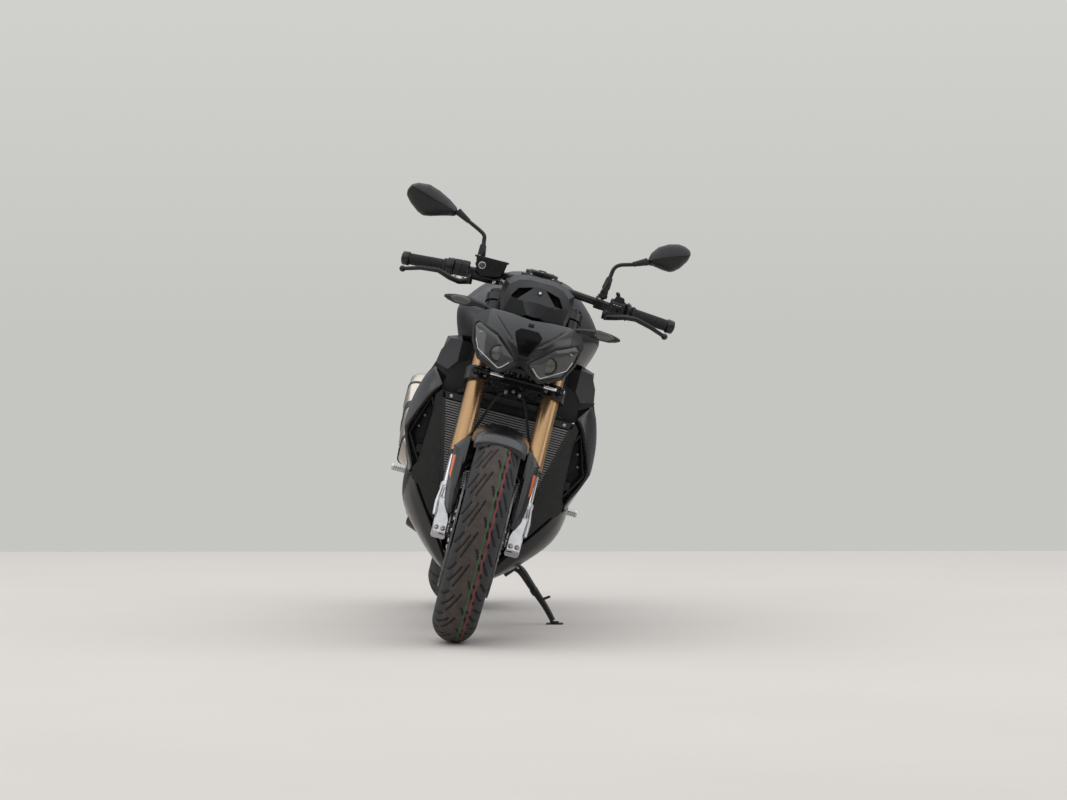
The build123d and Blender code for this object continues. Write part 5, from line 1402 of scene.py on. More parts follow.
RIDER = [
    (22, [(0, 842), (44, 841), (72, 830), (86, 806), (88, 780), (84, 762), (0, 762)]),
    (60, [(0, 834), (56, 833), (88, 820), (104, 800), (104, 776), (98, 761), (0, 761)]),
    (120, [(0, 824), (64, 824), (104, 812), (124, 795), (126, 774), (118, 761), (0, 761)]),
    (190, [(0, 820), (72, 822), (112, 812), (134, 796), (135, 774), (124, 761), (0, 761)]),
    (250, [(0, 828), (76, 829), (114, 820), (138, 802), (138, 776), (126, 762), (0, 762)]),
    (300, [(0, 846), (74, 844), (106, 836), (130, 815), (130, 786), (118, 772), (0, 772)]),
    (331, [(0, 862), (64, 860), (96, 852), (114, 832), (116, 802), (108, 784), (0, 784)]),
]
PILLION = [
    (339, [(0, 884), (60, 883), (90, 876), (101, 862), (100, 846), (94, 838), (0, 838)]),
    (400, [(0, 897), (66, 896), (94, 888), (104, 874), (102, 858), (94, 850), (0, 850)]),
    (480, [(0, 910), (66, 909), (92, 902), (101, 892), (100, 878), (92, 870), (0, 870)]),
    (560, [(0, 921), (56, 920), (80, 914), (88, 904), (86, 892), (80, 885), (0, 885)]),
    (606, [(0, 926), (44, 925), (64, 919), (73, 911), (72, 901), (66, 896), (0, 896)]),
]
pads = []
for name, node, sections, lift, fill in (
    ("rider_saddle", "rider_seat", RIDER, lambda p: 768 + max(0, p.y - 250) * 0.24, 0.8),
    ("passenger_pad", "passenger_seat", PILLION, lambda p: 843 + (p.y - 339) * 0.22, 0.85),
):
    pad = Piece("seat")
    pad.rings(seat_rings(sections, 3.0), True, BOTH, creases={5: 0.7, 7: 0.7}, ends=0.5)
    pad = pad.done(name, "chassis", "seat", [node], subdivide=2)
    swell(pad, lift, 0.007)
    pads.append(pad)

piping = Piece("rubber")
bpy.context.view_layer.update()
for sections, place, lift, pad in ((RIDER, 3, 2.0, pads[0]), (PILLION, 3, 1.5, pads[1])):
    for side in (1, -1):
        run = [Vector((side * (half[place][0] - 1), y, half[place][1] + lift)) for y, half in sections]
        piping.use("seat").tube(laid(run, pad), 2.1, 8, 1)
    for index in (3, 4):
        y, half = sections[min(index, len(sections) - 1)]
        top = [
            Vector((x, y + 12, z + 1.2))
            for x, z in reversed(half[:3])
        ] + [Vector((-x, y + 12, z + 1.2)) for x, z in half[1:3]]
        piping.use("rubber").tube(laid(top, pad), 1.3, 8, 1)
piping.done("seat_seams", "chassis", "seat")

# ---- Tail ----
tail = Piece("panel")
TAIL = [
    (336, [(100, 834), (114, 833), (123, 821), (119, 800), (111, 777), (70, 774), (0, 774)]),
    (400, [(100, 848), (113, 847), (121, 834), (114, 812), (103, 788), (60, 785), (0, 785)]),
    (480, [(98, 865), (109, 864), (117, 850), (108, 826), (93, 801), (50, 798), (0, 798)]),
    (560, [(84, 882), (94, 882), (102, 870), (92, 844), (74, 818), (40, 814), (0, 814)]),
    (612, [(74, 903), (84, 902), (89, 882), (80, 856), (63, 828), (34, 825), (0, 825)]),
    (680, [(58, 912), (66, 910), (71, 890), (62, 866), (49, 842), (26, 840), (0, 840)]),
    (740, [(40, 920), (48, 918), (54, 899), (47, 880), (37, 860), (18, 858), (0, 858)]),
    (758, [(34, 920), (40, 918), (46, 902), (41, 884), (33, 866), (16, 864), (0, 864)]),
]
half_hull(tail, TAIL, {1: 0.5, 2: 0.8, 4: 0.6})
tops = [(y, *line[0]) for y, line in TAIL]
tail.rings([[(x, y, z), (0, y, z + (1.5 if y > 611 else 0))] for y, x, z in tops], False)
tail.mirror().done("tail_cowl", "chassis", "black_satin", ["tail_fairing"], subdivide=2, weld=0.05)

tail_trim = Piece("plastic")
tail_trim.use("plastic").rings(
    [[Vector((x + out, y, z)) for x, z in line] for y, line, out in (
        (350, [(117, 812), (119, 826), (117, 829)], 0.6), (470, [(111, 838), (115, 853), (112, 858)], 0.6),
        (600, [(85, 866), (90, 882), (86, 890)], 0.6))],
    False,
)
for y, x, z in ((372, 112, 796), (560, 86, 834)):
    tail_trim.use("silver").bolt((x, y, z), Vector((1, 0, -0.3)), 4.5, 3)
tail_trim.mirror()
lamp = rounded(twin([(32, 874), (40, 900), (30, 914)]), 6)
tail_trim.use("taillight").rings(
    [
        [(x, y, z) for x, z in scaled(lamp, s, (0, 895))]
        for s, y in ((1, 755), (1, 762), (0.9, 766), (0.4, 768))
    ],
    True, LAST,
)
tail_trim.use("black").rings(
    [
        [(x, y, z) for x, z in scaled(lamp, s, (0, 895))]
        for s, y in ((1.06, 752), (1.1, 758), (1.1, 764), (1.0, 763))
    ],
    True,
)
tail_trim.done("tail_lamp", "chassis", "light", bevel=0.8, sharp=30)

# ---- Plate holder and rear indicators ----
holder = Piece("plastic")
arm = [
    (690, 862, 848, 24), (760, 856, 828, 24), (860, 818, 790, 22), (980, 760, 722, 20),
    (1040, 728, 696, 20),
]
holder.rings(
    [
        [
            (x, y, z)
            for x, z in (
                (-half, top - 5), (-half + 6, top), (half - 6, top), (half, top - 5), (half - 5, low),
                (-half + 5, low),
            )
        ]
        for y, top, low, half in arm
    ],
    True, BOTH,
)
slant = Vector((0, -0.12, 0.99)).normalized()
back_out = Vector((0, 0.99, 0.12)).normalized()
centre = Vector((0, 1052, 646))
holder.use("black").prism(rounded(twin([(95, -86), (95, 82)]), 9), 4, centre, X, slant, back_out)
holder.use("plate").prism(
    rounded(twin([(90, -70), (90, 78)]), 7), 1.4, centre + back_out * 4, X, slant, back_out,
)
holder.use("taillight").lathe(
    [(0, 17), (3, 17), (5, 14), (6, 8), (6.3, 0.01)], centre + slant * -80 + back_out * 3, back_out, 28,
)
holder.use("plastic").prism(
    rounded(twin([(26, -7), (22, 9)]), 4), 24, centre + slant * 84 - back_out * 3, X, slant, back_out,
)
for x in (-60, 60):
    holder.use("silver").bolt(centre + X * x + slant * 62 + back_out * 5.3, back_out, 4, 2.5)
holder.done("number_plate_holder", "chassis", "black_plastic", ["plate_holder"], bevel=1.2)

rear_winkers = Piece("plastic")
pod(rear_winkers, [
    (22, 900, 782, 9, 9), (60, 901, 783, 7, 7), (100, 903, 784, 8, 8), (120, 905, 785, 13, 11),
    (142, 908, 785, 14, 12), (166, 911, 785, 10, 8), (184, 913, 785, 3, 3),
])
leaf = rounded([(104, 0), (122, 9.5), (146, 9), (172, 1), (146, -8), (122, -9.5)], 6, 3)
face = []
for grow, out in ((1, -4), (1, 1), (0.85, 3), (0.4, 4)):
    face.append([(x, 920 + 0.05 * (x - 138) + out, 785 + z) for x, z in scaled(leaf, grow, (138, 0))])
rear_winkers.use("smoke").rings(face, True, LAST)
rear_winkers.mirror().done("rear_winkers", "chassis", "light", ["rear_lights"], sharp=45)

# ---- Rear hugger ----
mudguard(
    "rear_mudguard", "chassis", "black_plastic", "rear_hugger", "plastic", REAR_HUB,
    [(97, -72), (97, -56), (93, -32), (80, -14), (56, -3), (28, 1.5), (0, 2.5)], 335.5, (-84, -10), 24,
    0.975,
    lambda k: (1, 1 - 0.35 * ease((k - 18) / 6), 0), {0: 1, 12: 1, 13: 1, 25: 1},
)
stays = Piece("plastic")
stays.use("plastic").prism(
    rounded([(466, 428), (506, 420), (504, 458), (470, 460)], 4), 34, (96, 0, 0), Y, Z, X,
)
stays.use("silver").bolt((112, 487, 458), Z, 5, 3)
stays.mirror().done("mudguard_stays", "chassis", "black_plastic", bevel=1.5)

# ---- Brake hoses ----
def hose(name, route):
    """A hose along its route, as a smooth curve through the row frame."""
    curve = bpy.data.curves.new(name, "CURVE")
    curve.dimensions = "3D"
    curve.bevel_depth = 0.004
    curve.bevel_resolution = 4
    curve.resolution_u = 10
    curve.use_fill_caps = True
    spline = curve.splines.new("NURBS")
    spline.points.add(len(route) - 1)
    places = [UPRIGHT @ Vector(p) for p in route]
    for point, place in zip(spline.points, places):
        point.co = (*place, 1)
    spline.order_u = 3
    spline.use_endpoint_u = True
    curve.materials.append(MATS["rubber"])
    obj = bpy.data.objects.new(name, curve)
    bpy.context.scene.collection.objects.link(obj)
    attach(obj, "steering")


DROP = [
    (14, 0, 435.7), (32, -2, 431.7), (50, 8, 392), (66, 26, 348), (87, 44, 300), (92, 50, 244),
    (91, 58, 196), (84, 61, 150),
]
for side, word in ((1, "left"), (-1, "right")):
    hose("brake_hose_" + word, [fork(side * x, behind, up) for x, behind, up in DROP])
MASTER = [(-111.7, -405, 990), (-96, -438, 988), (-103, -492, 956), (-98, -502, 890), (-50, -514, 812)]
hose(
    "brake_hose_master",
    [Vector(p) for p in MASTER] + [fork(-16, -18, 528), fork(-8, -12, 494), fork(-8, -12, 444)],
)

fittings = Piece("black")
way = (fork(32, -2, 431.7) - fork(14, 0, 435.7)).normalized()
fittings.use("silver").lathe([(-4, 6), (-4, 7), (7, 7), (8, 5)], fork(17, 0, 435), way, 18)
end = fork(84, 61, 150)
fittings.use("silver").lathe([(-8, 7.5), (-8, 9), (-2, 9.5), (4, 9.5), (6, 8), (6, 0.01)], end, X, 20)
fittings.use("steel").lathe([(6, 7), (11, 6.5), (11, 0.01)], end, X, 6)
fittings.use("silver").lathe([(0, 5.8), (16, 5.8), (18, 4.4)], end, (fork(91, 58, 196) - end), 16)
fittings.mirror()
fittings.use("black").prism(oblong(15, 15, 3), 22, fork(0, -5, 421.7), X, FORK_Y, FORK_Z)
fittings.use("steel").bolt(fork(0, -20, 432), -FORK_Y, 5, 4)
fittings.use("silver").lathe([(-12, 5), (-12, 6.4), (3, 6.4), (4, 5.4)], fork(-8, -12, 452), FORK_Z, 18)
fittings.done("brake_hose_fittings", "steering", "black_frame", ["brake_hoses"], bevel=0.6)

# ---- Brake discs and calipers ----
def rotor(piece, hub, outer, inner, bore, holes, arms):
    """A brake disc: a drilled ring whose holes are painted shade, black dots on both faces, with its carrier
    and the floating buttons between them.
    """
    edge = [(-2.5, outer - 0.7), (-1.8, outer), (1.8, outer), (2.5, outer - 0.7)]
    piece.use("disc").lathe([(-2.5, inner), *edge, (2.5, inner), (-2.5, inner)], hub, X, 120)
    # The holes are not cut through: each one is a shallow matte black dot on both faces, painted shade.
    for row, radius in enumerate(np.linspace(inner + 8, outer - 9, 4)):
        for k in range(holes):
            place = hub + spun(2 * math.pi * (k + row / 3.0) / holes) * radius
            for way in (-1, 1):
                piece.use("matte_black_and_shade").lathe(
                    [(-0.2, 3.6), (0.2, 3.6), (0.1, 3.0), (0.05, 0.01)], place + X * way * 2.5, X * way,
                    9,
                )
    piece.use("black").lathe(
        [(-3, bore), (-3, bore + 22), (3, bore + 22), (3, bore), (-3, bore)], hub, X, 64,
    )
    for k in range(arms):
        out = spun(2 * math.pi * k / arms)
        across = X.cross(out)
        arm = twin([(8, bore + 20), (4.5, inner - 4), (8, inner + 3)])
        piece.use("black").prism(arm, 4.4, hub - X * 2.2, across, out, X)
        piece.use("steel").lathe(
            [(-3.4, 0.01), (-3.4, 5.6), (3.4, 5.6), (3.4, 0.01)], hub + out * (inner - 0.5), X, 16,
        )
        outwards = X * math.copysign(1, hub.x)
        piece.use("silver").bolt(hub + out * (bore + 12) + outwards * 3, outwards, 4.6, 3)


def caliper(piece, hub, angle, half_length, low, high, half_width, gap):
    """A two-piece caliper over its disc, with piston bosses, bridge bolts, a bleed nipple and pads."""
    out, run = spun(angle), spun(angle + math.pi / 2)
    end = half_length
    line = rounded(twin([(end - 6, low), (end, low + 14), (end, high - 12), (end - 11, high)]), 6, 3)
    pad = twin([(end * 0.72, low + 4), (end * 0.72, low + 30)])
    wall = half_width - gap - 2
    for way in (-1, 1):
        near = hub + X * (way * gap)
        piece.use("black").prism(line, wall, near, run, out, X * way)
        for t in (-0.46, 0.46):
            place = near + X * way * wall + run * end * t + out * (low + (high - low) * 0.42)
            piece.use("black").lathe(
                [(0, 14.5), (1.4, 14.5), (2, 13.4), (2, 9), (1.2, 8.4), (1.2, 0.01)], place, X * way, 28,
            )
        for t in (-0.78, 0.78):
            piece.use("steel").bolt(
                near + X * way * wall + run * end * t + out * (high - 14), X * way, 5, 2,
            )
        piece.use("steel").prism(pad, 2.2, hub + X * way * (gap - 2.4), run, out, X * way)
    bridge = twin([(end - 8, high - 12), (end - 12, high)])
    piece.use("black").prism(bridge, 2 * gap + 2, hub - X * (gap + 1), run, out, X)
    nipple = hub + X * math.copysign(gap + 6, hub.x) + run * (end - 22) + out * (high - 1)
    piece.use("silver").lathe([(0, 4.5), (6, 4.5), (7, 2.6), (13, 2.4), (13, 0.01)], nipple, out, 12)


front_discs = Piece("disc")
front_grips = Piece("black")
rotor(front_discs, FRONT_HUB + X * DISC_X, outer=160, inner=98, bore=40, holes=30, arms=10)
caliper(
    front_grips, FRONT_HUB + X * DISC_X, CALIPER_TURN, half_length=55, low=112, high=178, half_width=22,
    gap=7.6,
)
front_discs.mirror().done("front_disc_rotors", "front_wheel", "steel", ["front_brake_discs"], sharp=40)
front_grips.mirror().done(
    "front_brake_calipers", "steering", "black_frame", ["front_calipers"], bevel=1.4, sharp=30,
)
rear_disc = Piece("disc")
rotor(rear_disc, REAR_HUB + X * REAR_DISC_X, outer=110, inner=74, bore=40, holes=24, arms=6)
rear_disc.done("rear_disc_rotor", "rear_wheel", "steel", ["rear_brake_disc"], sharp=40)
REAR_TURN = math.radians(118)
rear_grip = Piece("black")
caliper(
    rear_grip, REAR_HUB + X * (REAR_DISC_X - 0.5), REAR_TURN, half_length=45, low=74, high=128,
    half_width=16, gap=7.8,
)
rear_grip.use("black").lathe([(0, 22), (0, 30), (6, 30), (6, 22), (0, 22)], REAR_HUB + X * -121.7, X, 40)
rear_grip.prism(
    twin([(22, 26), (22, 86)]), 6, REAR_HUB + X * -121.7, spun(REAR_TURN + math.pi / 2), spun(REAR_TURN),
    X,
)
rear_grip.done("rear_brake_caliper", "chassis", "black_frame", ["rear_caliper"], bevel=1.2, sharp=30)

# ---- Sprocket and chain ----
CHAIN_X = 109
CHAIN_PITCH = 15.875
TEETH = 43
sprocket = Piece("steel")
TOOTH = ((0.0, 101), (0.25, 102.5), (0.42, 106), (0.58, 106), (0.75, 102.5))
turns = [(2 * math.pi * (k + part) / TEETH, radius) for k in range(TEETH) for part, radius in TOOTH]
teeth = [spun(turn) * radius for turn, radius in turns]
circle = [spun(turn) * 70 for turn in np.linspace(0, 2 * math.pi, len(teeth), endpoint=False)]
hub = REAR_HUB + X * CHAIN_X
loops = []
for x, ring in ((-2.6, circle), (-2.6, teeth), (2.6, teeth), (2.6, circle), (-2.6, circle)):
    loops.append([hub + X * x + p for p in ring])
sprocket.use("steel").rings(loops, True)
sprocket.use("black").lathe([(-3, 36), (-3, 52), (3, 52), (3, 36), (-3, 36)], hub, X, 48)
for k in range(6):
    out = spun(math.radians(60 * k + 12))
    sprocket.use("steel").prism(twin([(16, 48), (12, 74)]), 4.6, hub - X * 2.3, X.cross(out), out, X)
    sprocket.use("silver").bolt(hub + out * 60 + X * 2.3, X, 6, 5)
sprocket.done("rear_chain_sprocket", "rear_wheel", "steel", ["rear_sprocket"], sharp=35)

small, big = Vector((20, 395)), Vector((REAR_HUB.y, REAR_HUB.z))
SMALL_R, BIG_R = 41, 114
between = big - small
lean = math.atan2(between.y, between.x)
spread = math.acos((SMALL_R - BIG_R) / between.length)
path = []
for middle, radius, start, sweep, steps in (
    (small, SMALL_R, lean + spread, 2 * math.pi - 2 * spread, 24),
    (big, BIG_R, lean - spread, 2 * spread, 48),
):
    turns = [start + sweep * k / steps for k in range(steps + 1)]
    path += [middle + Vector((math.cos(turn), math.sin(turn))) * radius for turn in turns]
path.append(path[0])
runs = [0.0]
for a, b in zip(path, path[1:]):
    runs.append(runs[-1] + (b - a).length)
links = 2 * round(runs[-1] / CHAIN_PITCH / 2)
pins = []
for k in range(links + 1):
    far = runs[-1] * k / links
    j = max(i for i, run in enumerate(runs[:-1]) if run <= far + 1e-6)
    share = (far - runs[j]) / (runs[j + 1] - runs[j])
    pins.append(path[j].lerp(path[j + 1], share))
chain = Piece("chain")
upper = [(-4.2, 4.6), (0, 6.4), (5, 4.6), (10.9, 4.6), (15.9, 6.4), (20.1, 4.6)]
plate = [(-6, 0)] + upper + [(21.9, 0)] + [(u, -v) for u, v in reversed(upper)]
for k in range(links):
    a, b = pins[k], pins[k + 1]
    way = (b - a).normalized()
    u, v = Vector((0, way.x, way.y)), Vector((0, -way.y, way.x))
    near = 4.2 if k % 2 else 6.2
    for side in (-1, 1):
        chain.use("chain").prism(plate, 1.7, Vector((CHAIN_X + side * near, a.x, a.y)), u, v, X * side)
    chain.use("steel").lathe([(-4, 0.01), (-4, 5), (4, 5), (4, 0.01)], (CHAIN_X, a.x, a.y), X, 8)
    chain.use("chain").lathe([(-8, 0.01), (-8, 2.2), (8, 2.2), (8, 0.01)], (CHAIN_X, a.x, a.y), X, 8)
chain.use("steel").lathe([(-3, 12), (-3, 34), (3, 34), (3, 12)], (CHAIN_X, *small), X, 34)
chain.done("drive_chain_links", "chassis", "steel", ["drive_chain"], sharp=40)

# ---- Shock absorber ----
shock = Piece("black")
low, high = Vector((0, 262, 335)), Vector((0, 130, 615))
span = (high - low).normalized()
full = (high - low).length
across = span.cross(X).normalized()
coil = []
for k in range(141):
    t = k / 140
    turn = 2 * math.pi * 7.2 * t
    coil.append(low + span * (68 + (full - 136) * t) + (X * math.cos(turn) + across * math.sin(turn)) * 26)
shock.use("spring").tube(coil, 4.6, 10, 1)
top = full - 66
for finish, sides, profile in (
    ("chrome", 20, [(24, 7), (110, 7)]),
    ("black", 36, [(14, 12), (20, 15), (58, 15), (60, 30), (65, 30.5), (66, 24), (66, 9)]),
    ("black", 36, [
        (100, 9), (100, 19), (top, 19), (top, 30), (top + 6, 30.5), (top + 8, 26), (top + 40, 25),
        (top + 46, 14),
        (top + 54, 12),
    ]),
    ("silver", 30, [(top - 18, 19.2), (top - 18, 24), (top - 12, 24), (top - 12, 19.2)]),
):
    shock.use(finish).lathe(profile, low, span, sides)
shock.use("black").lathe(
    [(-21.5, 10), (-21.5, 19), (-20, 20), (20, 20), (21.5, 19), (21.5, 10)], low, X, 32,
)
shock.use("steel").bolt(low + X * 21.5, X, 9, 0.1)
shock.use("black").lathe([(-18, 10.2), (-18, 17), (18, 17), (18, 10.2)], high, X, 32)
shock.done("shock_with_spring", "chassis", "steel", ["shock_absorber"], bevel=0.5, sharp=35)

# ---- Silencer ----
silencer = Piece("titanium")
start, end = Vector((-208, 228, 405)), Vector((-238, 520, 640))
span = (end - start).normalized()
wide = (X - span * X.dot(span)).normalized()
tall = span.cross(wide).normalized()


def can(t, width, height, corner):
    """A silencer section's rounded outline at t along it."""
    box = oblong(width / 2, height / 2, corner, 6)
    return [start + span * t + wide * (a - 6 * ease(t / 60)) + tall * b for a, b in box]


for finish, stations in (
    ("titanium", [(0, 52, 54, 24), (14, 58, 58, 24), (18, 72, 72, 24), (64, 108, 116, 30)]),
    ("heated", [(62, 110, 118, 30), (64, 112, 120, 30), (72, 112, 120, 30), (74, 110, 118, 30)]),
    ("titanium", [(73, 110, 118, 30), (190, 115, 124, 30), (304, 116, 128, 30)]),
    ("heated", [(302, 117, 128, 30), (304, 118, 129, 30), (312, 118, 129, 30), (314, 116, 127, 30)]),
    ("titanium", [(313, 115, 126, 30), (352, 106, 118, 30), (370, 90, 101, 28)]),
    ("black", [(369, 90, 101, 28), (372, 80, 92, 26), (360, 72, 84, 24)]),
    ("matte_black_and_shade", [(362, 73, 85, 24), (361, 40, 52, 16)]),
):
    silencer.use(finish).rings([can(*station) for station in stations], True, (False, finish == "matte_black_and_shade"))
silencer.use("steel").lathe([(350, 19), (371, 19), (371, 16.5), (340, 16)], start, span, 36)
silencer.use("heated").rings(
    [can(t, 115 + g, 125 + g, 31) for t, g in ((196, 0), (196, 3), (222, 4), (222, 1))], True,
)
for t in (70, 311):
    for a, b in ((-0.5, 0), (0.5, 0), (0, 0.5), (0, -0.5)):
        w, h = (112, 120) if t < 100 else (118, 129)
        out = (wide * a + tall * b).normalized()
        silencer.use("silver").bolt(
            start + span * t + wide * (w * a - 6) + tall * h * b - out * 0.3, out, 3.4, 1.8,
        )
bracket = rounded([(330, 560), (400, 590), (350, 690), (310, 680)], 10)
silencer.use("black").prism(bracket, 76, (-188, 0, 0), Y, Z, X)
silencer.use("silver").bolt((-188, 340, 668), -X, 7, 4)
silencer.done("side_silencer", "chassis", "titanium", ["silencer"], bevel=0.8, sharp=35)

pipes = Piece("steel")
for x in (-96, -33, 33, 96):
    pipes.use("steel").lathe(
        [(-2, 17.5), (-2, 27), (5, 27), (7, 20), (12, 18.6), (12, 17.5)], (x, -338, 585),
        (0, -0.6, -0.8), 28,
    )
    for dx in (-21, 21):
        pipes.use("silver").bolt((x + dx, -340, 583), (0, -0.6, -0.8), 4, 6)
    for y, z, t in ((-349, 470, 0), (-336, 345, 0)):
        pipes.use("titanium").lathe(
            [(-3, 17.3), (-2, 18.2), (2, 18.2), (3, 17.3)], (x, y, z), (0, -0.15, -1), 28,
        )
pipes.use("steel").lathe(
    [(-14, 26.4), (-14, 29), (14, 29), (14, 26.4)], (-195, 186, 340), (-0.15, 0.5, 0.85), 32,
)
pipes.use("silver").bolt((-224, 180, 342), -X, 5, 5)
pipes.done("exhaust_collars", "chassis", "titanium", bevel=0.5, sharp=40)

# ---- Footrests and pedals ----
pegs = Piece("silver")
near = 158.3
hanger = rounded([(85, 520), (150, 525), (172, 470), (165, 372), (100, 368), (92, 430)], 10, 4)
pegs.use("black").prism(hanger, 8.8, (near, 0, 0), Y, Z, X)
pegs.prism(
    rounded([(98, 508), (144, 512), (160, 468), (156, 430), (106, 432)], 8, 4), 1.2, (near + 8.6, 0, 0),
    Y, Z, X,
)
for y, z in ((104, 500), (140, 503), (130, 400)):
    pegs.use("steel").bolt((near + 9, y, z), X, 6 if z > 450 else 12, 4)
ribs = [(0, 9), (0, 13), (8, 13), (12, 11)]
for k in range(15):
    ribs += [
        (16 + k * 6.2, 11), (18 + k * 6.2, 11), (18.6 + k * 6.2, 9.4), (20.8 + k * 6.2, 9.4),
        (21.4 + k * 6.2, 11),
    ]
pegs.use("silver").lathe(ribs + [(112, 11), (115.4, 9.6), (115.4, 0.01)], (166, 118, 392), X, 28)
arm = rounded([(105, 381), (105, 363), (-34, 347), (-44, 349), (-44, 360), (-36, 364)], 4, 2)
pegs.use("black").prism(arm, 8, (168, 0, 0), Y, Z, X)
pegs.use("rubber").lathe([(10, 7), (10, 8.4), (41, 8.4), (43, 7), (43, 0.01)], (167, -36, 355), X, 20)
pegs.use("silver").lathe([(8, 5.5), (12, 5.5)], (167, -36, 355), X, 20)
pegs.use("steel").lathe([(-3, 10), (-3, 14), (9, 14), (10, 12), (10, 5), (8, 0.01)], (168, 98, 371), X, 24)
pegs.mirror()
pegs.use("steel").tube([(172, -4, 358), (174, 10, 400), (174, 20, 420)], 3, 10, 6)
pegs.done("rider_footrests", "chassis", "silver", ["footrests"], bevel=1.0, sharp=32)

rear_pegs = Piece("silver")
a, b = Vector((164, 420, 516)), Vector((166, 505, 566))
way = (b - a).normalized()
ribs = []
for k in range(11):
    ribs += [(10 + k * 7, 9.2), (12 + k * 7, 10.4), (14 + k * 7, 10.4), (16 + k * 7, 9.2)]
rear_pegs.use("rubber").lathe([(6, 9)] + ribs + [(92, 9.6), (94, 8), (94, 0.01)], a, way, 20)
rear_pegs.use("steel").bolt((148, 412, 514), X, 6, 4)
rear_pegs.mirror().done("passenger_peg_rubbers", "chassis", "silver", sharp=35)

# ---- Side stand ----
stand = Piece("black")
back = UPRIGHT.inverted()
stand_corners = [
    back @ (NODES["side_stand"].matrix_world @ v.co)
    for v in NODES["side_stand"].data.vertices
]
lowest = sorted(stand_corners, key=lambda p: (UPRIGHT @ p).z)[:4]
sole = sum((Vector(p) for p in lowest), Vector()) / len(lowest)
level = [(back.to_3x3() @ Vector(way)).normalized() for way in ((1, 0, 0), (0, 1, 0), (0, 0, 1))]
top = Vector((132, -40, 210))
turn_axis = (back.to_3x3() @ Vector(JOINTS["stand_fold"]["axis"])).normalized()
stand.use("black").lathe([(-10, 8), (-10, 18), (-9, 19), (9, 19), (10, 18), (10, 8)], top, turn_axis, 36)
stand.use("steel").lathe([(9, 13), (12.5, 13), (12.5, 7), (14, 6.5), (14, 0.01)], top, turn_axis, 6)
toe = sole + level[2] * 10 - level[0] * 5
run = [
    top + Vector((10, -2, -4)), Vector((164, -46, 196)), Vector((200, -52, 164)),
    toe + Vector((-34, 4, 36)), toe,
]
stand.use("black").tube(run, [13, 12.5, 11, 9, 8], 20, 8)
stand.lathe([(-3, 11), (0, 12.2), (14, 11.8), (18, 10)], run[2] + Vector((8, -1, -8)), toe - run[2], 20)
stand.tube([(238, -70, 134), (248, -84, 142), (258, -92, 150)], [4, 3.8, 3.8], 14, 5)
stand.prism(oblong(25, 17, 8), 4, sole, level[0], level[1], level[2])
stand.prism(
    rounded([(-14, -11), (12, -11), (12, 11), (-14, 11)], 4), 5, sole + level[2] * 4, level[0], level[1],
    level[2],
)
stand.use("silver").tube([(146, -62, 206), (152, -66, 200)], 3.4, 12, 1)
stand.use("rubber").tube([(150, -65, 202), (168, -68, 186), (182, -69, 176)], 4.6, 14, 5)
stand.done("side_stand_leg", "side_stand", "black_frame", ["side_stand"], bevel=0.8, sharp=35)

# ---- Engine, frame and swingarm details ----
engine = Piece("engine")
for k in range(9):
    z = 512 + 14 * k
    engine.use("engine").prism(
        rounded(
            [(-306 + max(0, 560 - z) * 0.5, 0), (-92, 0), (-92, 4), (-306 + max(0, 560 - z) * 0.5, 4)],
            1.5, 2,
        ),
        4, (117.6, 0, z), Y, Z, X,
    )
for y, z in ((-290, 628), (-200, 630), (-110, 628)):
    engine.use("silver").bolt((118, y, z), X, 5, 4)
engine.use("black").lathe([(0, 17), (6, 17), (8, 14), (8, 0.01)], (117.8, -200, 566), X, 28)
engine.mirror()
for place, way, radius in ((Vector((150, -170, 375)), X, 64), (Vector((-150, -110, 375)), -X, 66)):
    engine.use("engine").lathe(
        [
            (0, radius + 4), (7, radius + 4), (9, radius), (22, radius - 6), (26, radius - 14),
            (27, radius - 20), (24, radius - 24), (24, 14), (26, 12), (26, 0.01),
        ],
        place, way, 64,
    )
    for k in range(9):
        out = spun(2 * math.pi * k / 9 + 0.2)
        engine.use("silver").bolt(place + out * (radius - 0.5) + way * 8, way, 4.6, 3.4)
for k in range(10):
    engine.use("silver").bolt((92, 40 - k * 8 if k < 2 else 44, 310 + k * 16), X, 3.6, 3)
engine.use("black").lathe(
    [(0, 24), (18, 24), (20, 22), (22, 14), (22, 0.01)], (-60, -245, 268), (0, -1, -0.25), 36,
)
engine.use("silver").bolt((0, -240, 268), (0, -1, -0.25), 8, 6)
engine.done("engine_covers", "chassis", "engine", bevel=1.0, sharp=35)

frame_dress = Piece("black")
frame_dress.use("black").lathe([(0, 24), (3, 24), (4, 22), (4, 17)], (158, 130, 400), X, 36)
frame_dress.use("steel").lathe(
    [(2, 15), (9, 15), (10, 13), (10, 7), (6, 6), (6, 0.01)], (159, 130, 400), X, 6,
)
for y, z in ((90, 585), (145, 352), (130, 615)):
    frame_dress.use("steel").bolt((158, y, z), X, 9, 5)
frame_dress.use("silver").bolt((146, -250, 688), X, 8, 4)
for y, z, half_height in ((-325, 748, 63), (42, 600, 58)):
    seam = [
        Vector(((126 + 14 * (y > 0)) + s * 17.5, y, z + t * half_height))
        for s, t in ((-1, -1), (1, -1), (1, 1), (-1, 1))
    ]
    for a, b in zip(seam, seam[1:] + seam[:1]):
        frame_dress.use("black").tube([a, b], 2.2, 8, 1)
frame_dress.mirror().done("frame_fasteners", "chassis", "black_frame", bevel=0.6, sharp=35)

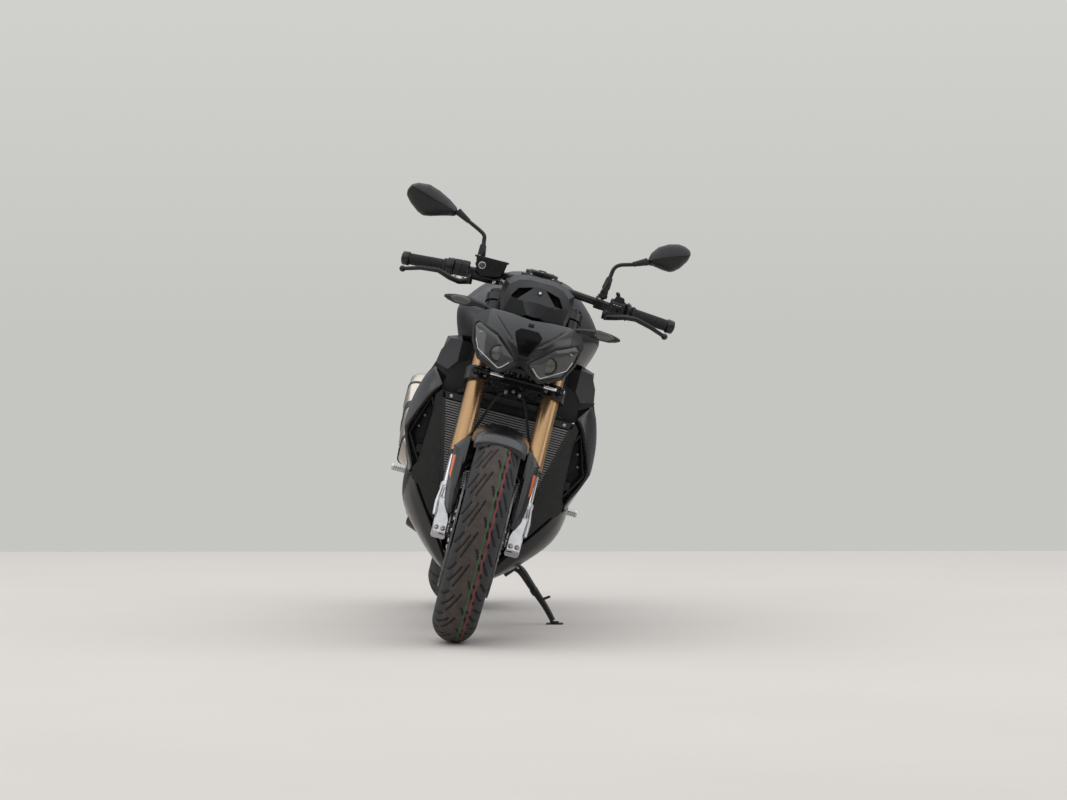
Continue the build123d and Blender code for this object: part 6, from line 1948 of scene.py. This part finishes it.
arm_dress = Piece("black")
arm_dress.use("silver").prism(
    rounded([(690, 300), (764, 302), (766, 338), (690, 340)], 5), 2.4, (158, 0, 0), Y, Z, X,
)
arm_dress.use("steel").lathe([(0, 17), (0, 19), (4, 19), (5, 15), (5, 0.01)], (164, 725, 320), X, 6)
for k in range(5):
    arm_dress.use("black").box((160.4 - 0.6, 696 + k * 6, 332), (160.4 + 0.6, 697 + k * 6, 337))
arm_dress.mirror()
arm_dress.use("black").prism(
    [(240, 448), (470, 434), (560, 424), (560, 420), (470, 429), (240, 440)], 34, (92, 0, 0), Y, Z, X,
)
arm_dress.use("rubber").prism([(150, 428), (240, 424), (240, 430), (150, 436)], 30, (96, 0, 0), Y, Z, X)
arm_dress.done("swingarm_fittings", "chassis", "black_frame", bevel=0.8, sharp=35)

for name, body, hub, radius, half in (
    ("front_rim_valve", "front_wheel", FRONT_HUB, 206, 20),
    ("rear_rim_valve", "rear_wheel", REAR_HUB, 206, 30),
):
    valve = Piece("rubber")
    out = spun(math.radians(200))
    valve.use("rubber").lathe([(-2, 6), (0, 7), (-10, 5.5), (-14, 4)], hub + out * radius, out, 16)
    valve.use("silver").lathe([(-30, 2.6), (-30, 3.6), (-14, 3.6)], hub + out * radius, out, 12)
    for k in range(5):
        spoke = spun(math.radians(72 * k + 18))
        valve.use("steel").lathe(
            [(0, 3), (1.5, 3), (2, 0.01)], hub + spoke * (radius - 2) + X * half, -spoke, 10,
        )
    valve.done(name, body, "black_frame", sharp=40)

# ---- Floor, light and camera ----
FLOOR = [(-14, -16, 0), (14, -16, 0), (14, 3.75, 0), (-14, 3.75, 0)]
mesh = bpy.data.meshes.new("floor")
mesh.from_pydata(FLOOR, [], [range(len(FLOOR))])
floor = bpy.data.objects.new("floor", mesh)
bpy.context.scene.collection.objects.link(floor)
shader("floor", (0.66, 0.625, 0.585), 0.85, 0, 0.015, 1.2, 0.1, 40)
mesh.materials.append(MATS["floor"])


def area_lamp(name, place, target, size, power):
    lamp = bpy.data.lights.new(name, "AREA")
    lamp.shape = "RECTANGLE"
    lamp.size, lamp.size_y = size
    lamp.energy = power
    obj = bpy.data.objects.new(name, lamp)
    bpy.context.scene.collection.objects.link(obj)
    obj.location = place
    obj.rotation_euler = (Vector(target) - Vector(place)).to_track_quat("-Z", "Y").to_euler()


area_lamp("ceiling", (0, -0.5, 5.5), (0, -0.2, 0), (12, 12), 260)
area_lamp("front_soft", (-2.5, -7.5, 4.4), (0, 0, 0.7), (5, 3), 28)
area_lamp("side_left", (6.5, -1.0, 3.0), (0, 0, 0.7), (4, 3), 45)
area_lamp("side_right", (-6.5, 0.0, 3.0), (0, 0, 0.7), (4, 3), 45)

world = bpy.data.worlds.new("studio")
bpy.context.scene.world = world
world.use_nodes = True
sky = world.node_tree
coords = sky.nodes.new("ShaderNodeTexCoord")
split = sky.nodes.new("ShaderNodeSeparateXYZ")
sky.links.new(coords.outputs["Generated"], split.inputs["Vector"])
height = split.outputs["Z"]
soft = sky.nodes["Background"]
sky.links.new(ramp(sky, height, (0.2, 0.2, 0.21, 1), (0.95, 0.97, 1.0, 1), 0, 0.75), soft.inputs["Color"])
soft.inputs["Strength"].default_value = 0.85
# The camera sees a plain pale wall where the floor ends.
pale = sky.nodes.new("ShaderNodeBackground")
sky.links.new(
    ramp(sky, height, (0.56, 0.565, 0.54, 1), (0.67, 0.665, 0.65, 1), 0, 0.12), pale.inputs["Color"],
)
rays = sky.nodes.new("ShaderNodeLightPath")
choose = sky.nodes.new("ShaderNodeMixShader")
sky.links.new(rays.outputs["Is Camera Ray"], choose.inputs["Fac"])
sky.links.new(soft.outputs["Background"], choose.inputs[1])
sky.links.new(pale.outputs["Background"], choose.inputs[2])
sky.links.new(choose.outputs["Shader"], sky.nodes["World Output"].inputs["Surface"])

camera = bpy.data.cameras.new("camera")
camera.sensor_width = 36.0
camera.lens = 135.6
camera.clip_end = 200
eye = bpy.data.objects.new("camera", camera)
bpy.context.scene.collection.objects.link(eye)
eye.location = (-0.1911, -11.7174, 0.8539)
eye.rotation_euler = (math.radians(90 - 1.002), 0, math.radians(-0.8885))
bpy.context.scene.camera = eye
bpy.context.scene.view_settings.view_transform = "Standard"
